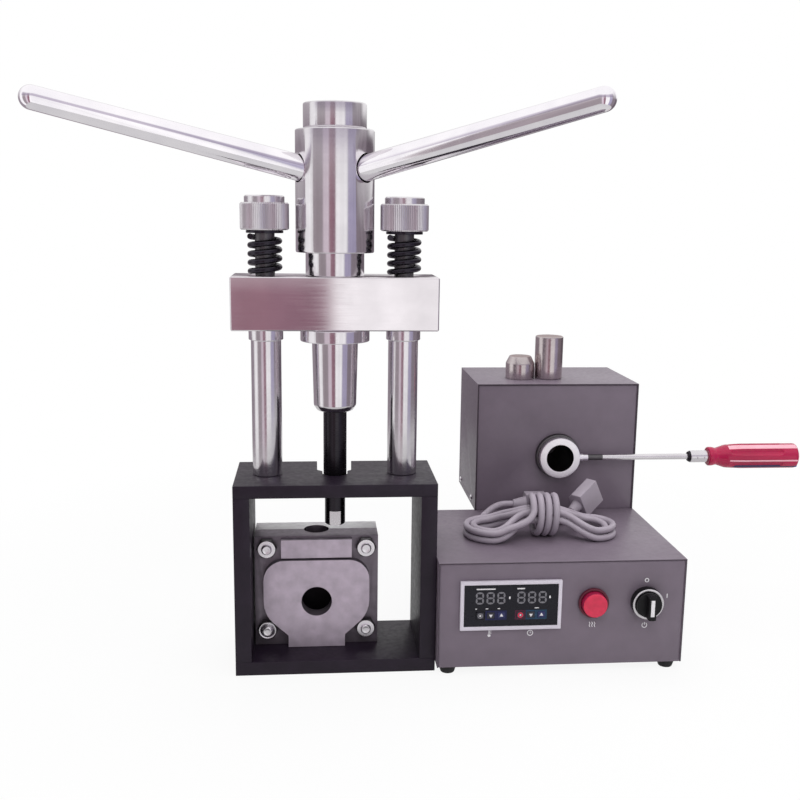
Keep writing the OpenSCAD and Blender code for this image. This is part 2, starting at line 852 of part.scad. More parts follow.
// Outline of the raised front boss, from the flask's foot, as seen from the front
module boss_outline() {
    half = flask_w / 2 - boss_side;
    hull() {
        for (side = [-1, 1]) {
            translate([side * (half - boss_corner_r), flask_h - boss_top - boss_corner_r])
                circle(r = boss_corner_r, $fn = 32);
            translate([side * (half - boss_side_r), flask_hole_z]) circle(r = boss_side_r, $fn = 32);
        }
        translate([-boss_tab_w / 2, boss_tab_h]) square([boss_tab_w, 1]);
    }
    translate([-boss_tab_w / 2, 0]) square([boss_tab_w, boss_tab_h]);
}

module flask_front_half() {
    color(cast_grey) difference() {
        union() {
            translate([-flask_shift - flask_w / 2, flask_front, flask_z])
                cube([flask_w, flask_half_t, flask_h]);
            translate([-flask_shift, flask_front, flask_z]) rotate([90, 0, 0])
                linear_extrude(flask_boss_t) boss_outline();
            translate([pad_x, flask_front - pad_t, flask_top - pad_top - pad_h])
                cube([flask_w - 2 * pad_side, pad_t, pad_h]);
        }
        flask_hollows();
        translate([-flask_shift, flask_front - flask_boss_t - over, flask_z + flask_hole_z])
            rod_to_back(flask_hole_d, flask_half_t);
    }
}

module flask_rear_half() {
    color(cast_grey) difference() {
        translate([-flask_shift - flask_w / 2, flask_part_y, flask_z]) cube([flask_w, flask_half_t, flask_h]);
        flask_hollows();
    }
}

// Bolts with their heads on the rear half
module flask_bolts() {
    color(satin_steel) at_flask_bolts() {
        translate([0, -flask_half_t - bolt_nut_t - bolt_end, 0])
            rod_to_back(bolt_d, 2 * flask_half_t + bolt_nut_t + bolt_end);
        translate([0, flask_half_t, 0]) rotate([-90, 0, 0])
            cylinder(d = bolt_af / cos(30), h = bolt_head_t, $fn = 6);
    }
}

module flask_nuts() {
    color(satin_steel) at_flask_bolts() translate([0, -flask_half_t - bolt_nut_t, 0]) difference() {
        rotate([-90, 0, 0]) cylinder(d = bolt_af / cos(30), h = bolt_nut_t, $fn = 6);
        translate([0, -over, 0]) rod_to_back(bolt_d + 2 * fixed_fit, bolt_nut_t + 2 * over);
    }
}

// Control box

// Floor and rear wall of a casing, between the sides of its cover
module casing_tray(x0, x1, y0, y1, z0, h) {
    translate([x0 + sheet, y0, z0]) cube([x1 - x0 - 2 * sheet, y1 - y0, sheet]);
    translate([x0 + sheet, y1 - sheet, z0]) cube([x1 - x0 - 2 * sheet, sheet, h - sheet]);
}

// Top and both sides of a casing, bent from one sheet
module casing_cover(x0, x1, y0, y1, z0, h) {
    translate([x0, y0, z0]) cube([sheet, y1 - y0, h]);
    translate([x1 - sheet, y0, z0]) cube([sheet, y1 - y0, h]);
    translate([x0, y0, z0 + h - sheet]) cube([x1 - x0, y1 - y0, sheet]);
}

module control_base() {
    color(lilac_paint) difference() {
        casing_tray(heater_x0, heater_x1, panel_y + panel_t, control_y1, foot_h, control_h);
        translate([inlet_x, control_y1 - sheet - over, inlet_z])
            back_block(inlet_body.x + 2 * fixed_fit, inlet_body.y + 2 * fixed_fit, sheet + 2 * over);
    }
}

module control_cover() {
    color(lilac_paint) casing_cover(heater_x0, heater_x1, control_y0, control_y1, foot_h, control_h);
}

module control_front_panel() {
    color(lilac_paint) difference() {
        translate([heater_x0 + sheet, panel_y, foot_h])
            cube([control_w - 2 * sheet, panel_t, control_h - sheet]);
        translate([meter_mid, panel_y - over, row_height])
            back_block(meter_case_w + 2 * fixed_fit, meter_case_h + 2 * fixed_fit, panel_t + 2 * over);
        for (x = [lamp_x, switch_x]) translate([heater_x0 + x, panel_y - over, row_height])
            rod_to_back(device_hole_d, panel_t + 2 * over);
    }
}

module rubber_feet() {
    color(spring_black) for (x = [heater_x0 + foot_inset, heater_x1 - foot_inset],
                             y = [control_y0 + foot_inset, control_y1 - foot_inset])
        translate([x, y, 0]) cylinder(d1 = foot_d - foot_taper, d2 = foot_d, h = foot_h);
}

// Panel meter: rim, face with pockets for the keys, and case behind the panel
module panel_meter() {
    color(dark_grey) translate([meter_mid, 0, row_height]) difference() {
        union() {
            translate([0, meter_front, 0]) back_block(meter_w, meter_h, meter_t);
            translate([0, panel_y, 0]) back_block(meter_case_w, meter_case_h, meter_case_d);
        }
        translate([0, meter_front - over, 0])
            back_block(meter_w - 2 * meter_rim, meter_h - 2 * meter_rim, meter_face_t + over);
        for (group = [-1, 1], place = [-1 : 1])
            translate([group * key_group_x + place * key_pitch, face_y - over, -key_drop])
                back_block(key_w + 2 * rest_gap, key_h + 2 * rest_gap, key_t - key_proud + key_pocket + over);
    }
}

module meter_key(group, place) {
    key_x = meter_mid + group * key_group_x + place * key_pitch;
    color(spring_black) translate([key_x, face_y - key_proud, row_height - key_drop])
        back_block(key_w, key_h, key_t);
}

module temp_set_key() {
    meter_key(-1, -1);
}

module temp_down_key() {
    meter_key(-1, 0);
}

module temp_up_key() {
    meter_key(-1, 1);
}

module time_set_key() {
    meter_key(1, -1);
}

module time_down_key() {
    meter_key(1, 0);
}

module time_up_key() {
    meter_key(1, 1);
}

module lamp_body() {
    color(dark_grey) translate([heater_x0 + lamp_x, 0, row_height]) difference() {
        union() {
            translate([0, panel_y - bezel_t, 0]) rod_to_back(lamp_bezel_d, bezel_t);
            translate([0, panel_y, 0]) rod_to_back(device_hole_d - 2 * fixed_fit, lamp_tail);
        }
        translate([0, panel_y - bezel_t - over, 0])
            rod_to_back(lamp_lens_d + 2 * fixed_fit, seat_depth + over);
    }
}

// Lens: a flat drum with a domed front
module lamp_lens() {
    dome_r = lamp_lens_d * lens_curve;
    color(lens_red) translate([heater_x0 + lamp_x, panel_y - bezel_t + seat_depth, row_height])
        intersection() {
        translate([0, -lamp_lens_t, 0]) rod_to_back(lamp_lens_d, lamp_lens_t);
        translate([0, dome_r - lamp_lens_t, 0]) sphere(r = dome_r);
    }
}

module switch_body() {
    color(satin_steel) translate([heater_x0 + switch_x, 0, row_height]) difference() {
        union() {
            translate([0, panel_y - switch_bezel_t, 0]) rod_to_back(switch_bezel_d, switch_bezel_t);
            translate([0, panel_y, 0]) rod_to_back(device_hole_d - 2 * fixed_fit, switch_neck);
            translate([-switch_box.x / 2, panel_y + switch_neck, -switch_box.z / 2]) cube(switch_box);
        }
        translate([0, panel_y - switch_bezel_t - over, 0]) rod_to_back(knob_d + 2 * rest_gap, seat_depth + over);
        translate([0, panel_y - switch_bezel_t - over, 0]) rod_to_back(knob_shaft_d + 2 * run_fit, knob_bore);
    }
}

// Knob: disc, raised grip bar and shaft
module switch_knob() {
    disc_y = panel_y - switch_bezel_t + seat_depth - rest_gap - knob_t;
    color(spring_black) translate([heater_x0 + switch_x, 0, row_height]) {
        translate([0, disc_y, 0]) rod_to_back(knob_d, knob_t);
        intersection() {
            translate([0, disc_y - knob_bar_t, 0]) rod_to_back(knob_d - bar_trim, knob_bar_t + knob_t / 2);
            translate([-knob_bar_w / 2, disc_y - knob_bar_t, -knob_d / 2])
                cube([knob_bar_w, knob_bar_t + knob_t / 2, knob_d]);
        }
        translate([0, disc_y + knob_t / 2, 0]) rod_to_back(knob_shaft_d, knob_t / 2 + knob_shaft_len);
    }
}

// Mains inlet in the rear wall, with a socket for the lead's connector and three blades
module power_inlet() {
    color(spring_black) translate([inlet_x, control_y1, inlet_z]) {
        difference() {
            union() {
                back_block(inlet_flange.x, inlet_flange.y, inlet_lip);
                translate([0, -inlet_depth, 0]) back_block(inlet_body.x, inlet_body.y, inlet_depth);
            }
            translate([0, inlet_lip - inlet_socket_depth, 0])
                back_block(inlet_socket.x, inlet_socket.y, inlet_socket_depth + over);
        }
        for (place = blade_places)
            translate([place.x, inlet_lip - inlet_socket_depth - over, place.y])
                back_block(blade.x, blade.y, blade_len + over);
    }
}

// Furnace

// Stand under the furnace, open below
module furnace_stand() {
    x0 = furnace_x0 + stand_inset;
    y0 = control_y1 + rest_gap;
    outer = [furnace_w - 2 * stand_inset, furnace_y1 - y0 - stand_short, control_top];
    color(lilac_paint) translate([x0, y0, 0]) difference() {
        cube(outer);
        translate([stand_t, stand_t, -over])
            cube([outer.x - 2 * stand_t, outer.y - 2 * stand_t, outer.z - stand_t + over]);
    }
}

// Places its children at the casing screws of both furnace sides, with Z running outwards
module at_casing_screws() {
    for (y = [furnace_y0 + screw_front, furnace_y1 - screw_rear]) {
        translate([furnace_x0, y, control_top + screw_rise]) rotate([0, -90, 0]) children();
        translate([furnace_x1, y, control_top + screw_rise]) rotate([0, 90, 0]) children();
    }
}

module furnace_base() {
    color(lilac_paint) difference() {
        union() {
            casing_tray(furnace_x0, furnace_x1, core_y, furnace_y1, control_top, furnace_h);
            for (x = [furnace_x0 + sheet, furnace_x1 - 2 * sheet])
                translate([x, core_y, control_top]) cube([sheet, furnace_y1 - core_y, side_flange_h]);
        }
        at_casing_screws() translate([0, 0, -3 * sheet]) cylinder(d = screw_d + 2 * fixed_fit, h = 4 * sheet);
    }
}

module furnace_cover() {
    color(lilac_paint) difference() {
        casing_cover(furnace_x0, furnace_x1, furnace_y0, furnace_y1, control_top, furnace_h);
        at_casing_screws() translate([0, 0, -2 * sheet]) cylinder(d = screw_d + 2 * fixed_fit, h = 3 * sheet);
    }
}

module furnace_front_panel() {
    color(lilac_paint) difference() {
        translate([furnace_x0 + sheet, furnace_panel_y, control_top])
            cube([furnace_w - 2 * sheet, panel_t, furnace_h - sheet]);
        translate([0, furnace_panel_y - over, 0] + barrel_axis)
            rod_to_back(core_collar_d + 2 * fixed_fit, panel_t + 2 * over);
    }
}

// Heater core: a thick tube closed at the rear, with a collar through the front panel
module heater_core() {
    color(dark_grey) translate(barrel_axis) difference() {
        union() {
            translate([0, collar_y, 0]) rod_to_back(core_collar_d, core_collar_t + panel_t);
            translate([0, core_y, 0]) rod_to_back(core_d, core_len);
        }
        translate([0, collar_y - over, 0])
            rod_to_back(barrel_d + 2 * rest_gap, barrel_len + rest_gap + over);
    }
}

module insulation_block() {
    gap = 2 * sheet + rest_gap;
    block = [furnace_w - 2 * gap, core_len + insulation_rear, furnace_h - 2 * sheet - insulation_top];
    color("#d8d2c4") difference() {
        translate([furnace_x0 + gap, core_y, control_top + sheet]) cube(block);
        translate([0, core_y - over, 0] + barrel_axis) rod_to_back(core_d + 2 * rest_gap, core_len + over);
    }
}

module casing_screws() {
    color(satin_steel) at_casing_screws() {
        cylinder(d1 = screw_head_d, d2 = screw_head_d - screw_taper, h = screw_head_t);
        translate([0, 0, -2 * sheet]) cylinder(d = screw_d, h = 2 * sheet + screw_head_t / 2);
    }
}

// Injection barrel

// Barrel with its flange, the ear for the shaft and a nozzle hole in its floor
module injection_barrel() {
    color(bright_steel) translate(barrel_axis) difference() {
        union() {
            translate([0, flange_y, 0]) rod_to_back(flange_d, flange_t);
            translate([0, flange_y, 0]) rod_to_back(barrel_d, barrel_len);
            translate([flange_d / 2 - ear_root, shaft_y, 0]) rod_to_right(ear_d, ear_len + ear_root);
        }
        translate([0, flange_y - over, 0]) rod_to_back(barrel_bore, barrel_len - barrel_floor + over);
        translate([0, flange_y, 0]) rod_to_back(nozzle_d, barrel_len + over);
    }
}

module handle_shaft() {
    color(bright_steel) translate([shaft_x, shaft_y, barrel_axis.z]) rod_to_right(shaft_d, shaft_len);
}

module handle_ferrule() {
    color(bright_steel) translate([ferrule_x, shaft_y, barrel_axis.z]) rotate([0, 90, 0]) {
        cylinder(d1 = ferrule_d - ferrule_cone, d2 = ferrule_d, h = ferrule_cone);
        translate([0, 0, ferrule_cone]) cylinder(d = ferrule_d, h = ferrule_len - ferrule_cone);
    }
}

// Grip: a short collar at the ferrule, a waist behind it and a flat palm end, with flutes along its length
module handle_grip() {
    r = grip_d / 2;
    neck = grip_neck_d / 2;
    color(grip_red) translate([grip_x, shaft_y, barrel_axis.z]) rotate([0, 90, 0]) difference() {
        rotate_extrude() polygon([[0, 0], [neck - grip_round / 2, 0], [neck, grip_round / 2],
                                  [neck, grip_collar - grip_round / 2], [neck - grip_dip, 1.5 * grip_collar],
                                  [r - grip_round / 2, 3.25 * grip_collar], [r, grip_flare],
                                  [r, grip_len - grip_round], [r - grip_round, grip_len], [0, grip_len]]);
        for (i = [1 : grip_flutes]) rotate([0, 0, i * 360 / grip_flutes])
            translate([r + flute_r - flute_depth, 0, flute_start])
                cylinder(r = flute_r, h = grip_len - flute_start - flute_rest);
    }
}

// Loose cylinders on the furnace

module nozzle_cap() {
    short_x = furnace_x0 + tall_x - cylinder_pitch;
    color(satin_steel) translate([short_x, furnace_y0 + cylinder_y, furnace_top]) {
        cylinder(d = short_d, h = short_h - short_cone_h);
        translate([0, 0, short_h - short_cone_h])
            cylinder(d1 = short_d, d2 = short_d - short_cone_h, h = short_cone_h);
    }
}

module plunger() {
    color(satin_steel) translate([furnace_x0 + tall_x, furnace_y0 + cylinder_y, furnace_top])
        chamfered_rod(tall_d, tall_h, tall_chamfer);
}

// Power lead

// Point of the hank's outline at a share of one loop from its right end, inset from the outline
function quarter_point(v, inset) =
    v < lobe_share
        ? let (a = lobe_end * v / lobe_share) [lobe_x + (lobe_r - inset) * cos(a), (lobe_r - inset) * sin(a)]
        : v < bend_share
            ? let (a = lobe_end - 180 - (lobe_end - 90) * (v - lobe_share) / (bend_share - lobe_share))
              [waist_half + (waist_r + inset) * cos(a), waist_y + waist_r + (waist_r + inset) * sin(a)]
            : [waist_half * (1 - v) / (1 - bend_share), waist_y - inset];
function loop_point(t, inset) =
    let (q = floor(4 * t), v = 4 * t - q, p = quarter_point(q % 2 == 0 ? v : 1 - v, inset))
    [(q == 0 || q == 3 ? 1 : -1) * p.x, (q < 2 ? 1 : -1) * p.y];

function smooth(x) = let (c = max(0, min(1, x))) c * c * (3 - 2 * c);

// Point of the hank after a number of turns: spiralling in on the lower layer and out on the upper one
function hank_point(turns) =
    let (p = loop_point(turns - floor(turns), cord_lay * min(turns, hank_turns - turns)),
         layer = smooth((turns - hank_turns / 2 + climb_before) / climb_span),
         lift = waist_lift * smooth((lift_far - abs(p.x)) / (lift_far - lift_near)))
    [p.x, p.y, layer_rise * layer + lift];

// Point of the wraps round the waist, from the front of the first to the top of the last
wrap_start = 40;
wrap_angle = 360 * wrap_turns + 90;
wrap_x0 = -wrap_pitch * wrap_angle / 720;
function wrap_point(a) = [wrap_x0 + wrap_pitch * a / 360, -wrap_r * cos(a), wrap_mid_z + wrap_r * sin(a)];

// Points strictly between two ends of a smooth blend
function blend(p0, d0, p1, d1) = [for (i = [1 : rings_per_blend - 1]) let (s = i / rings_per_blend)
    (1 + 2 * s) * (1 - s) * (1 - s) * p0 + s * (1 - s) * (1 - s) * d0
    + s * s * (3 - 2 * s) * p1 - s * s * (1 - s) * d1];

connector_way = [cos(connector_turn) * cos(connector_tilt), sin(connector_turn) * cos(connector_tilt),
                 sin(connector_tilt)];
hank_rings = ceil((hank_stop - hank_start) * rings_per_loop);
hank_run = [for (i = [0 : hank_rings]) hank_point(hank_start + (hank_stop - hank_start) * i / hank_rings)];
wrap_rings = wrap_turns * rings_per_loop + rings_per_loop / 4;
wrap_run = [for (i = [0 : wrap_rings]) wrap_point(wrap_start + (wrap_angle - wrap_start) * i / wrap_rings)];
wrap_way = [0, sin(wrap_start), cos(wrap_start)];
plug_run_end = plug_exit - [cord_d, 0, 0];
tail_start = connector_exit - cord_d * connector_way;
plug_pull = 60;
hank_pull = 25;
wrap_pull = 55;
tail_pull = 69;
connector_pull = 95;
cord_route = concat(
    [plug_exit, plug_run_end],
    blend(plug_run_end, [-plug_pull, 0, 0], hank_run[0], plug_pull * unit(hank_run[1] - hank_run[0])),
    hank_run,
    blend(hank_run[hank_rings], hank_pull * unit(hank_run[hank_rings] - hank_run[hank_rings - 1]),
          wrap_run[0], wrap_pull * wrap_way),
    wrap_run,
    blend(wrap_run[wrap_rings], tail_pull * [0, 1, 0], tail_start, connector_pull * connector_way),
    [tail_start, connector_exit]);
function route_length(route) = let (last = len(route) - 1)
    [for (i = 1, sum = 0; i <= last + 1;
          sum = i <= last ? sum + norm(route[i] - route[i - 1]) : sum, i = i + 1) sum][last];
echo(cord_length = route_length(cord_route));
echo(cord_self_gap = least_gap(cord_route, 9) - cord_d);

module power_cord() {
    color(cord_grey) translate(hank_mid) faceted_tube(tube_rings(cord_route, cord_r, [0, 0, 1]));
}

// Connector: strain relief, and a body with two cut corners and three slots in its face
module cord_connector() {
    w = connector_body.x;
    h = connector_body.y;
    cut = connector_cut;
    color(cord_grey) translate(hank_mid + connector_exit)
        rotate([0, 0, connector_turn]) rotate([0, -connector_tilt, 0]) rotate([0, 90, 0]) {
        cylinder(d1 = relief_d, d2 = connector_relief_d, h = connector_relief);
        translate([0, 0, connector_relief]) difference() {
            linear_extrude(connector_body.z)
                polygon([[-w / 2, -h / 2], [w / 2, -h / 2], [w / 2, h / 2 - cut], [w / 2 - cut, h / 2],
                         [cut - w / 2, h / 2], [-w / 2, h / 2 - cut]]);
            for (place = blade_places)
                translate([place.x - slot.x / 2, place.y - slot.y / 2, connector_body.z - slot.z])
                    cube(slot + [0, 0, over]);
        }
    }
}

// Mains plug: strain relief, body with cut corners and two round pins
module cord_plug() {
    color(cord_grey) translate(hank_mid + plug_exit) rotate([90, 0, 90]) {
        cylinder(d1 = relief_d, d2 = plug_relief_d, h = plug_relief);
        translate([0, 0, plug_relief]) linear_extrude(plug_body.z)
            cut_corner_rectangle(plug_body.x, plug_body.y, plug_cut);
        for (side = [-1, 1]) translate([side * pin_side, 0, plug_relief + plug_body.z])
            cylinder(d = pin_d, h = pin_len);
    }
}

frame_base_plate();
frame_left_post();
frame_right_post();
frame_top_plate();
left_column();
right_column();
crosshead();
left_spring();
right_spring();
left_spring_seat();
right_spring_seat();
left_knurled_nut();
right_knurled_nut();
screw_nut();
lock_ring();
ram_guide();
screw_spindle();
thrust_bearing();
ram_rod();
hub();
hub_cap();
left_handle();
right_handle();
rear_handle();
flask_front_half();
flask_rear_half();
flask_bolts();
flask_nuts();
control_base();
control_cover();
control_front_panel();
rubber_feet();
panel_meter();
temp_set_key();
temp_down_key();
temp_up_key();
time_set_key();
time_down_key();
time_up_key();
lamp_body();
lamp_lens();
switch_body();
switch_knob();
power_inlet();
furnace_stand();
furnace_base();
furnace_cover();
furnace_front_panel();
heater_core();
insulation_block();
casing_screws();
injection_barrel();
handle_shaft();
handle_ferrule();
handle_grip();
nozzle_cap();
plunger();
power_cord();
cord_connector();
cord_plug();
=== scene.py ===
"""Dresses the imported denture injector: the screw press with its flask, the heater, its barrel and its lead."""
import json
import math

import bmesh
import bpy
from mathutils import Matrix, Vector

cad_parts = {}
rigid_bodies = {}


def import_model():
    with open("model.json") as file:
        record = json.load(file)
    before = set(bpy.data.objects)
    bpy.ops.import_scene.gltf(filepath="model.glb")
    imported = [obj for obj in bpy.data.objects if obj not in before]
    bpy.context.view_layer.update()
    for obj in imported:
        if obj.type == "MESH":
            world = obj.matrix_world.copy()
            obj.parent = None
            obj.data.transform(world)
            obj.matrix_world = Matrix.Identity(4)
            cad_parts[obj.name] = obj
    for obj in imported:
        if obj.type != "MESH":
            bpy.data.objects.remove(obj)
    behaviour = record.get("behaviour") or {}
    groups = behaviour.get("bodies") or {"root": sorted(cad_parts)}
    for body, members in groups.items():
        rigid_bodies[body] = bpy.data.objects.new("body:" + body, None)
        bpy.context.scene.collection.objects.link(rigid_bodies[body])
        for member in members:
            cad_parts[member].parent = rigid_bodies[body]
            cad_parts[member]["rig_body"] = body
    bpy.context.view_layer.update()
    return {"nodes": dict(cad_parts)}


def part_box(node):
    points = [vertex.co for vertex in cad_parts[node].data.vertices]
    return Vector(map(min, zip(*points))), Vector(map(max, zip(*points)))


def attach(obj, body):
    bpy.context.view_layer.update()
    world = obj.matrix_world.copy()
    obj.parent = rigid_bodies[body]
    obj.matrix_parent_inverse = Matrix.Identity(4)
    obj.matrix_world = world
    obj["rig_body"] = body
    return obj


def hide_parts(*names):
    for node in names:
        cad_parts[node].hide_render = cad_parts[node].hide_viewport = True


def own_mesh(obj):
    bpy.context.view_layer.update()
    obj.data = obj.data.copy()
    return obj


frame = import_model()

bl_info = {
    "name": "Denture Injector",
    "version": (1, 0, 0),
    "blender": (4, 5, 0),
    "location": "View3D > Sidebar > Injector",
    "description": "Models and finishes the visible pieces of a hand-screw denture injector",
    "category": "Object",
}

MM = 0.001
FINISH = "_finish"
SKIN = 0.12 * MM
PRINT_EDGE = 0.04 * MM
RUNNING_GAP = 0.06 * MM
SEATED_GAP = 0.05 * MM
MERGE_DISTANCE = 2e-6
IMAGE_SIDE = 800


def linear(hex_code):
    """Linear colour of a screen colour such as 7a6d7a."""
    shares = [int(hex_code[i:i + 2], 16) / 255 for i in (0, 2, 4)]
    return [s / 12.92 if s <= 0.04045 else ((s + 0.055) / 1.055) ** 2.4 for s in shares]


def length(name, description, millimetres):
    return bpy.props.FloatProperty(name=name, description=description, default=millimetres * MM,
                                   unit="LENGTH", precision=5)


def number(name, description, value, unit="NONE"):
    return bpy.props.FloatProperty(name=name, description=description, default=value, unit=unit)


def angle(name, description, degrees):
    return bpy.props.FloatProperty(name=name, description=description, default=math.radians(degrees),
                                   subtype="ANGLE")


def count(name, description, number):
    return bpy.props.IntProperty(name=name, description=description, default=number, min=1)


def colour(name, description, hex_code):
    return bpy.props.FloatVectorProperty(name=name, description=description, default=linear(hex_code), size=3,
                                         min=0, max=1, subtype="COLOR")


class InjectorView(bpy.types.PropertyGroup):
    """Place of the camera and brightness of the studio."""
    camera_x: length("Camera X", "Place of the camera to the right of the ram", -19.8)
    camera_y: length("Camera Y", "Place of the camera behind the ram", -927.8)
    camera_z: length("Camera Z", "Height of the camera above the bench", 427.3)
    yaw: angle("Yaw", "Turn of the camera to the right", 5.02)
    pitch: angle("Pitch", "Tilt of the camera downwards", 10.51)
    roll: angle("Roll", "Roll of the camera", 0.68)
    focal: number("Focal length", "Focal length in pixels of the square picture", 996)
    key_power: number("Key light", "Power of the light above the front", 9, "POWER")
    top_power: number("Top light", "Power of the light overhead", 14, "POWER")
    fill_power: number("Fill light", "Power of the light from the right", 4, "POWER")
    room_level: number("Room level", "Even light from all round", 0.40)


class InjectorColours(bpy.types.PropertyGroup):
    """Colours of the finishes."""
    frame_paint: colour("Frame", "Satin black of the press frame", "221926")
    steel: colour("Steel", "Turned and polished steel", "e2dee2")
    chrome: colour("Chrome", "Polished bars of the handles", "faf6fc")
    ground: colour("Ground steel", "Ground faces of the crosshead", "ece6ea")
    spring: colour("Springs", "Blackened spring wire", "3a373e")
    ram: colour("Ram", "Blackened ram", "3a373c")
    flask: colour("Flask", "Cast metal of the flask", "7d747e")
    boss: colour("Flask boss", "Paler face of the flask's boss", "c0b2c1")
    casing: colour("Casings", "Powder paint of the casings", "776b78")
    # Painted shade: the covers' front rims are darkened where the panels sit back behind them.
    casing_edge: colour("Casing edges", "Shaded edges of the covers", "3c323c")
    cylinder: colour("Cylinders", "Warm metal of the loose cylinders", "dcd1d2")
    cylinder_top: colour("Cylinder tops", "Heat-stained tops of the loose cylinders", "9c8484")
    pad_blue: colour("Blue pad", "Print behind the left arrow keys", "20224a")
    pad_red: colour("Red pad", "Print behind the right set key", "4c2036")
    pad_teal: colour("Teal pad", "Print behind the right arrow keys", "22405a")
    rubber: colour("Rubber", "Feet and gaskets", "171618")
    meter: colour("Meter face", "Dark face of the meter", "17161f")
    meter_rim: colour("Meter rim", "Pale rim of the meter", "d9d2de")
    digit: colour("Digits", "Unlit digit segments", "77757c")
    key: colour("Keys", "Dark keys of the meter", "2e2d36")
    key_blue: colour("Blue keys", "Bluish keys of the meter", "2a2d5c")
    lamp: colour("Lamp", "Red lamp lens", "e02c52")
    lamp_rim: colour("Lamp rim", "Dark rim round the lens", "5a1028")
    # Painted shade: a darker red laid on the sides of the lens.
    lamp_side: colour("Lamp side", "Shaded side of the lens", "a81e48")
    knob: colour("Knob", "Black switch knob", "131215")
    mark: colour("Marks", "White marks and pointer", "e9e6ea")
    grip: colour("Grip", "Red resin of the grip", "b21348")
    # Painted highlight: pale pink laid on two of the grip's ridges, where the light catches them.
    grip_streak: colour("Grip streak", "Pale streaks moulded into the grip", "fbb9c8")
    grip_core: colour("Grip strip", "Dark strip moulded into the grip", "33244e")
    grip_dot: colour("Grip dot", "Blue end of the grip's core", "2b3fa0")
    cord: colour("Lead", "Grey sheath of the lead", "aba1ad")
    insulation: colour("Insulation", "Ceramic fibre block", "d9d2c3")


class InjectorSizes(bpy.types.PropertyGroup):
    """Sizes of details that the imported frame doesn't give."""
    plate_edge: length("Plate edge", "Rounding along the frame plates", 0.5)
    turned_edge: length("Turned edge", "Rounding of turned edges", 0.8)
    sheet_edge: length("Sheet edge", "Rounding of bent sheet edges", 0.7)
    cast_edge: length("Cast edge", "Rounding of cast edges", 1.3)
    column_r: length("Column radius", "Radius of a column", 14)
    shoulder_r: length("Shoulder radius", "Radius of the stop shoulder on a column", 16)
    shoulder_h: length("Shoulder height", "Height of the stop shoulder on a column", 10.5)
    stud_r: length("Stud radius", "Radius of the stud above the crosshead", 9)
    spring_wire: length("Spring wire", "Diameter of the spring wire", 5.4)
    spring_curls: number("Spring curls", "Number of curls", 4)
    knurl_teeth: count("Knurl teeth", "Teeth round a knurled nut", 76)
    knurl_depth: length("Knurl depth", "Depth of the knurl", 0.5)
    nut_boss_r: length("Nut boss radius", "Radius of the boss on a knurled nut", 18.25)
    nut_boss_h: length("Nut boss height", "Height of the boss on a knurled nut", 6.4)
    shank_r: length("Shank radius", "Radius of the screw nut in the crosshead", 22)
    spindle_r: length("Spindle radius", "Radius of the screw spindle", 15)
    thread_pitch: length("Thread pitch", "Pitch of the spindle's thread", 5)
    thread_depth: length("Thread depth", "Depth of the spindle's thread", 1.6)
    guide_r: length("Guide radius", "Lower radius of the ram guide", 20)
    guide_end_r: length("Guide end radius", "Radius of the ram guide's end face", 16.5)
    guide_chamfer: length("Guide chamfer", "Height of the ram guide's end chamfer", 5)
    ram_r: length("Ram radius", "Radius of the ram", 11)
    ram_tip_r: length("Ram tip radius", "Radius of the ram's working end", 9.75)
    ram_step_z: length("Ram step", "Height of the step on the ram", 178)
    ram_flat: length("Ram flat", "Height of the spanner flat on the ram", 14)
    ram_flat_y: length("Ram flat depth", "Distance from the ram's axis to its flat", 8.25)
    neck_r: length("Neck bore", "Radius of the hub's bore round the neck", 27.3)
    crown_z: length("Crown", "Height of the hub's inner crown", 448)
    handle_z: length("Handle height", "Height of the handle axes on the hub axis", 460.5)
    handle_rise: angle("Handle rise", "Rise of the handle bars", 12)
    handle_turn: angle("Handle turn", "Turn of the left handle bar towards the front", 20.7)
    handle_len: length("Handle length", "Length of a handle bar from the hub axis", 273)
    handle_root_r: length("Handle root radius", "Radius of a handle bar at the hub", 11.75)
    handle_tip_r: length("Handle tip radius", "Radius of a handle bar at its tip", 9.75)
    socket_floor: length("Socket floor", "Distance from the hub axis to a handle socket's floor", 20)
    socket_r: length("Socket radius", "Radius of a handle socket", 12.75)
    bolt_r: length("Bolt radius", "Radius of the flask bolts", 5)
    bolt_af: length("Nut width", "Width of the flask nuts across flats", 17)
    cavity_t: length("Cavity depth", "Depth of the flask's cavity in each half", 15)
    meter_rim: length("Meter rim", "Width of the meter's rim", 3.5)
    digit_w: length("Digit width", "Width of a digit", 6)
    digit_h: length("Digit height", "Height of a digit", 10.2)
    digit_stroke: length("Digit stroke", "Width of a digit's segments", 1.7)
    digit_pitch: length("Digit pitch", "Distance between digits", 10.1)
    digit_rise: length("Digit rise", "Height of the digits above the meter's middle", 7.4)
    group_x: length("Group distance", "Distance from the meter's middle to a digit group", 19.6)
    lens_r: length("Lens radius", "Radius of the lamp's lens", 12)
    knob_r: length("Knob radius", "Radius of the switch knob", 12)
    barrel_r: length("Barrel radius", "Outside radius of the barrel", 18)
    barrel_bore: length("Barrel bore", "Radius of the barrel's bore", 14.85)
    barrel_flange: length("Barrel flange", "Thickness of the barrel's flange", 8)
    barrel_floor: length("Barrel floor", "Thickness of the barrel's floor", 8)
    nozzle_r: length("Nozzle", "Radius of the nozzle hole", 3)
    ear_r: length("Ear radius", "Radius of the ear that holds the shaft", 4)
    flutes: count("Flutes", "Number of flutes round the grip", 6)
    flute_r: length("Flute radius", "Radius of the flutes", 6)
    flute_depth: length("Flute depth", "Depth of the flutes", 1.8)
    cord_d: length("Lead diameter", "Diameter of the lead", 6.6)


def view():
    return bpy.context.scene.injector_view


def colours():
    return bpy.context.scene.injector_colours


def sizes():
    return bpy.context.scene.injector_sizes


# Modelling by hand


def deselect_all():
    if bpy.context.mode != "OBJECT":
        bpy.ops.object.mode_set(mode="OBJECT")
    bpy.ops.object.select_all(action="DESELECT")


def select_only(piece):
    deselect_all()
    piece.select_set(True)
    bpy.context.view_layer.objects.active = piece


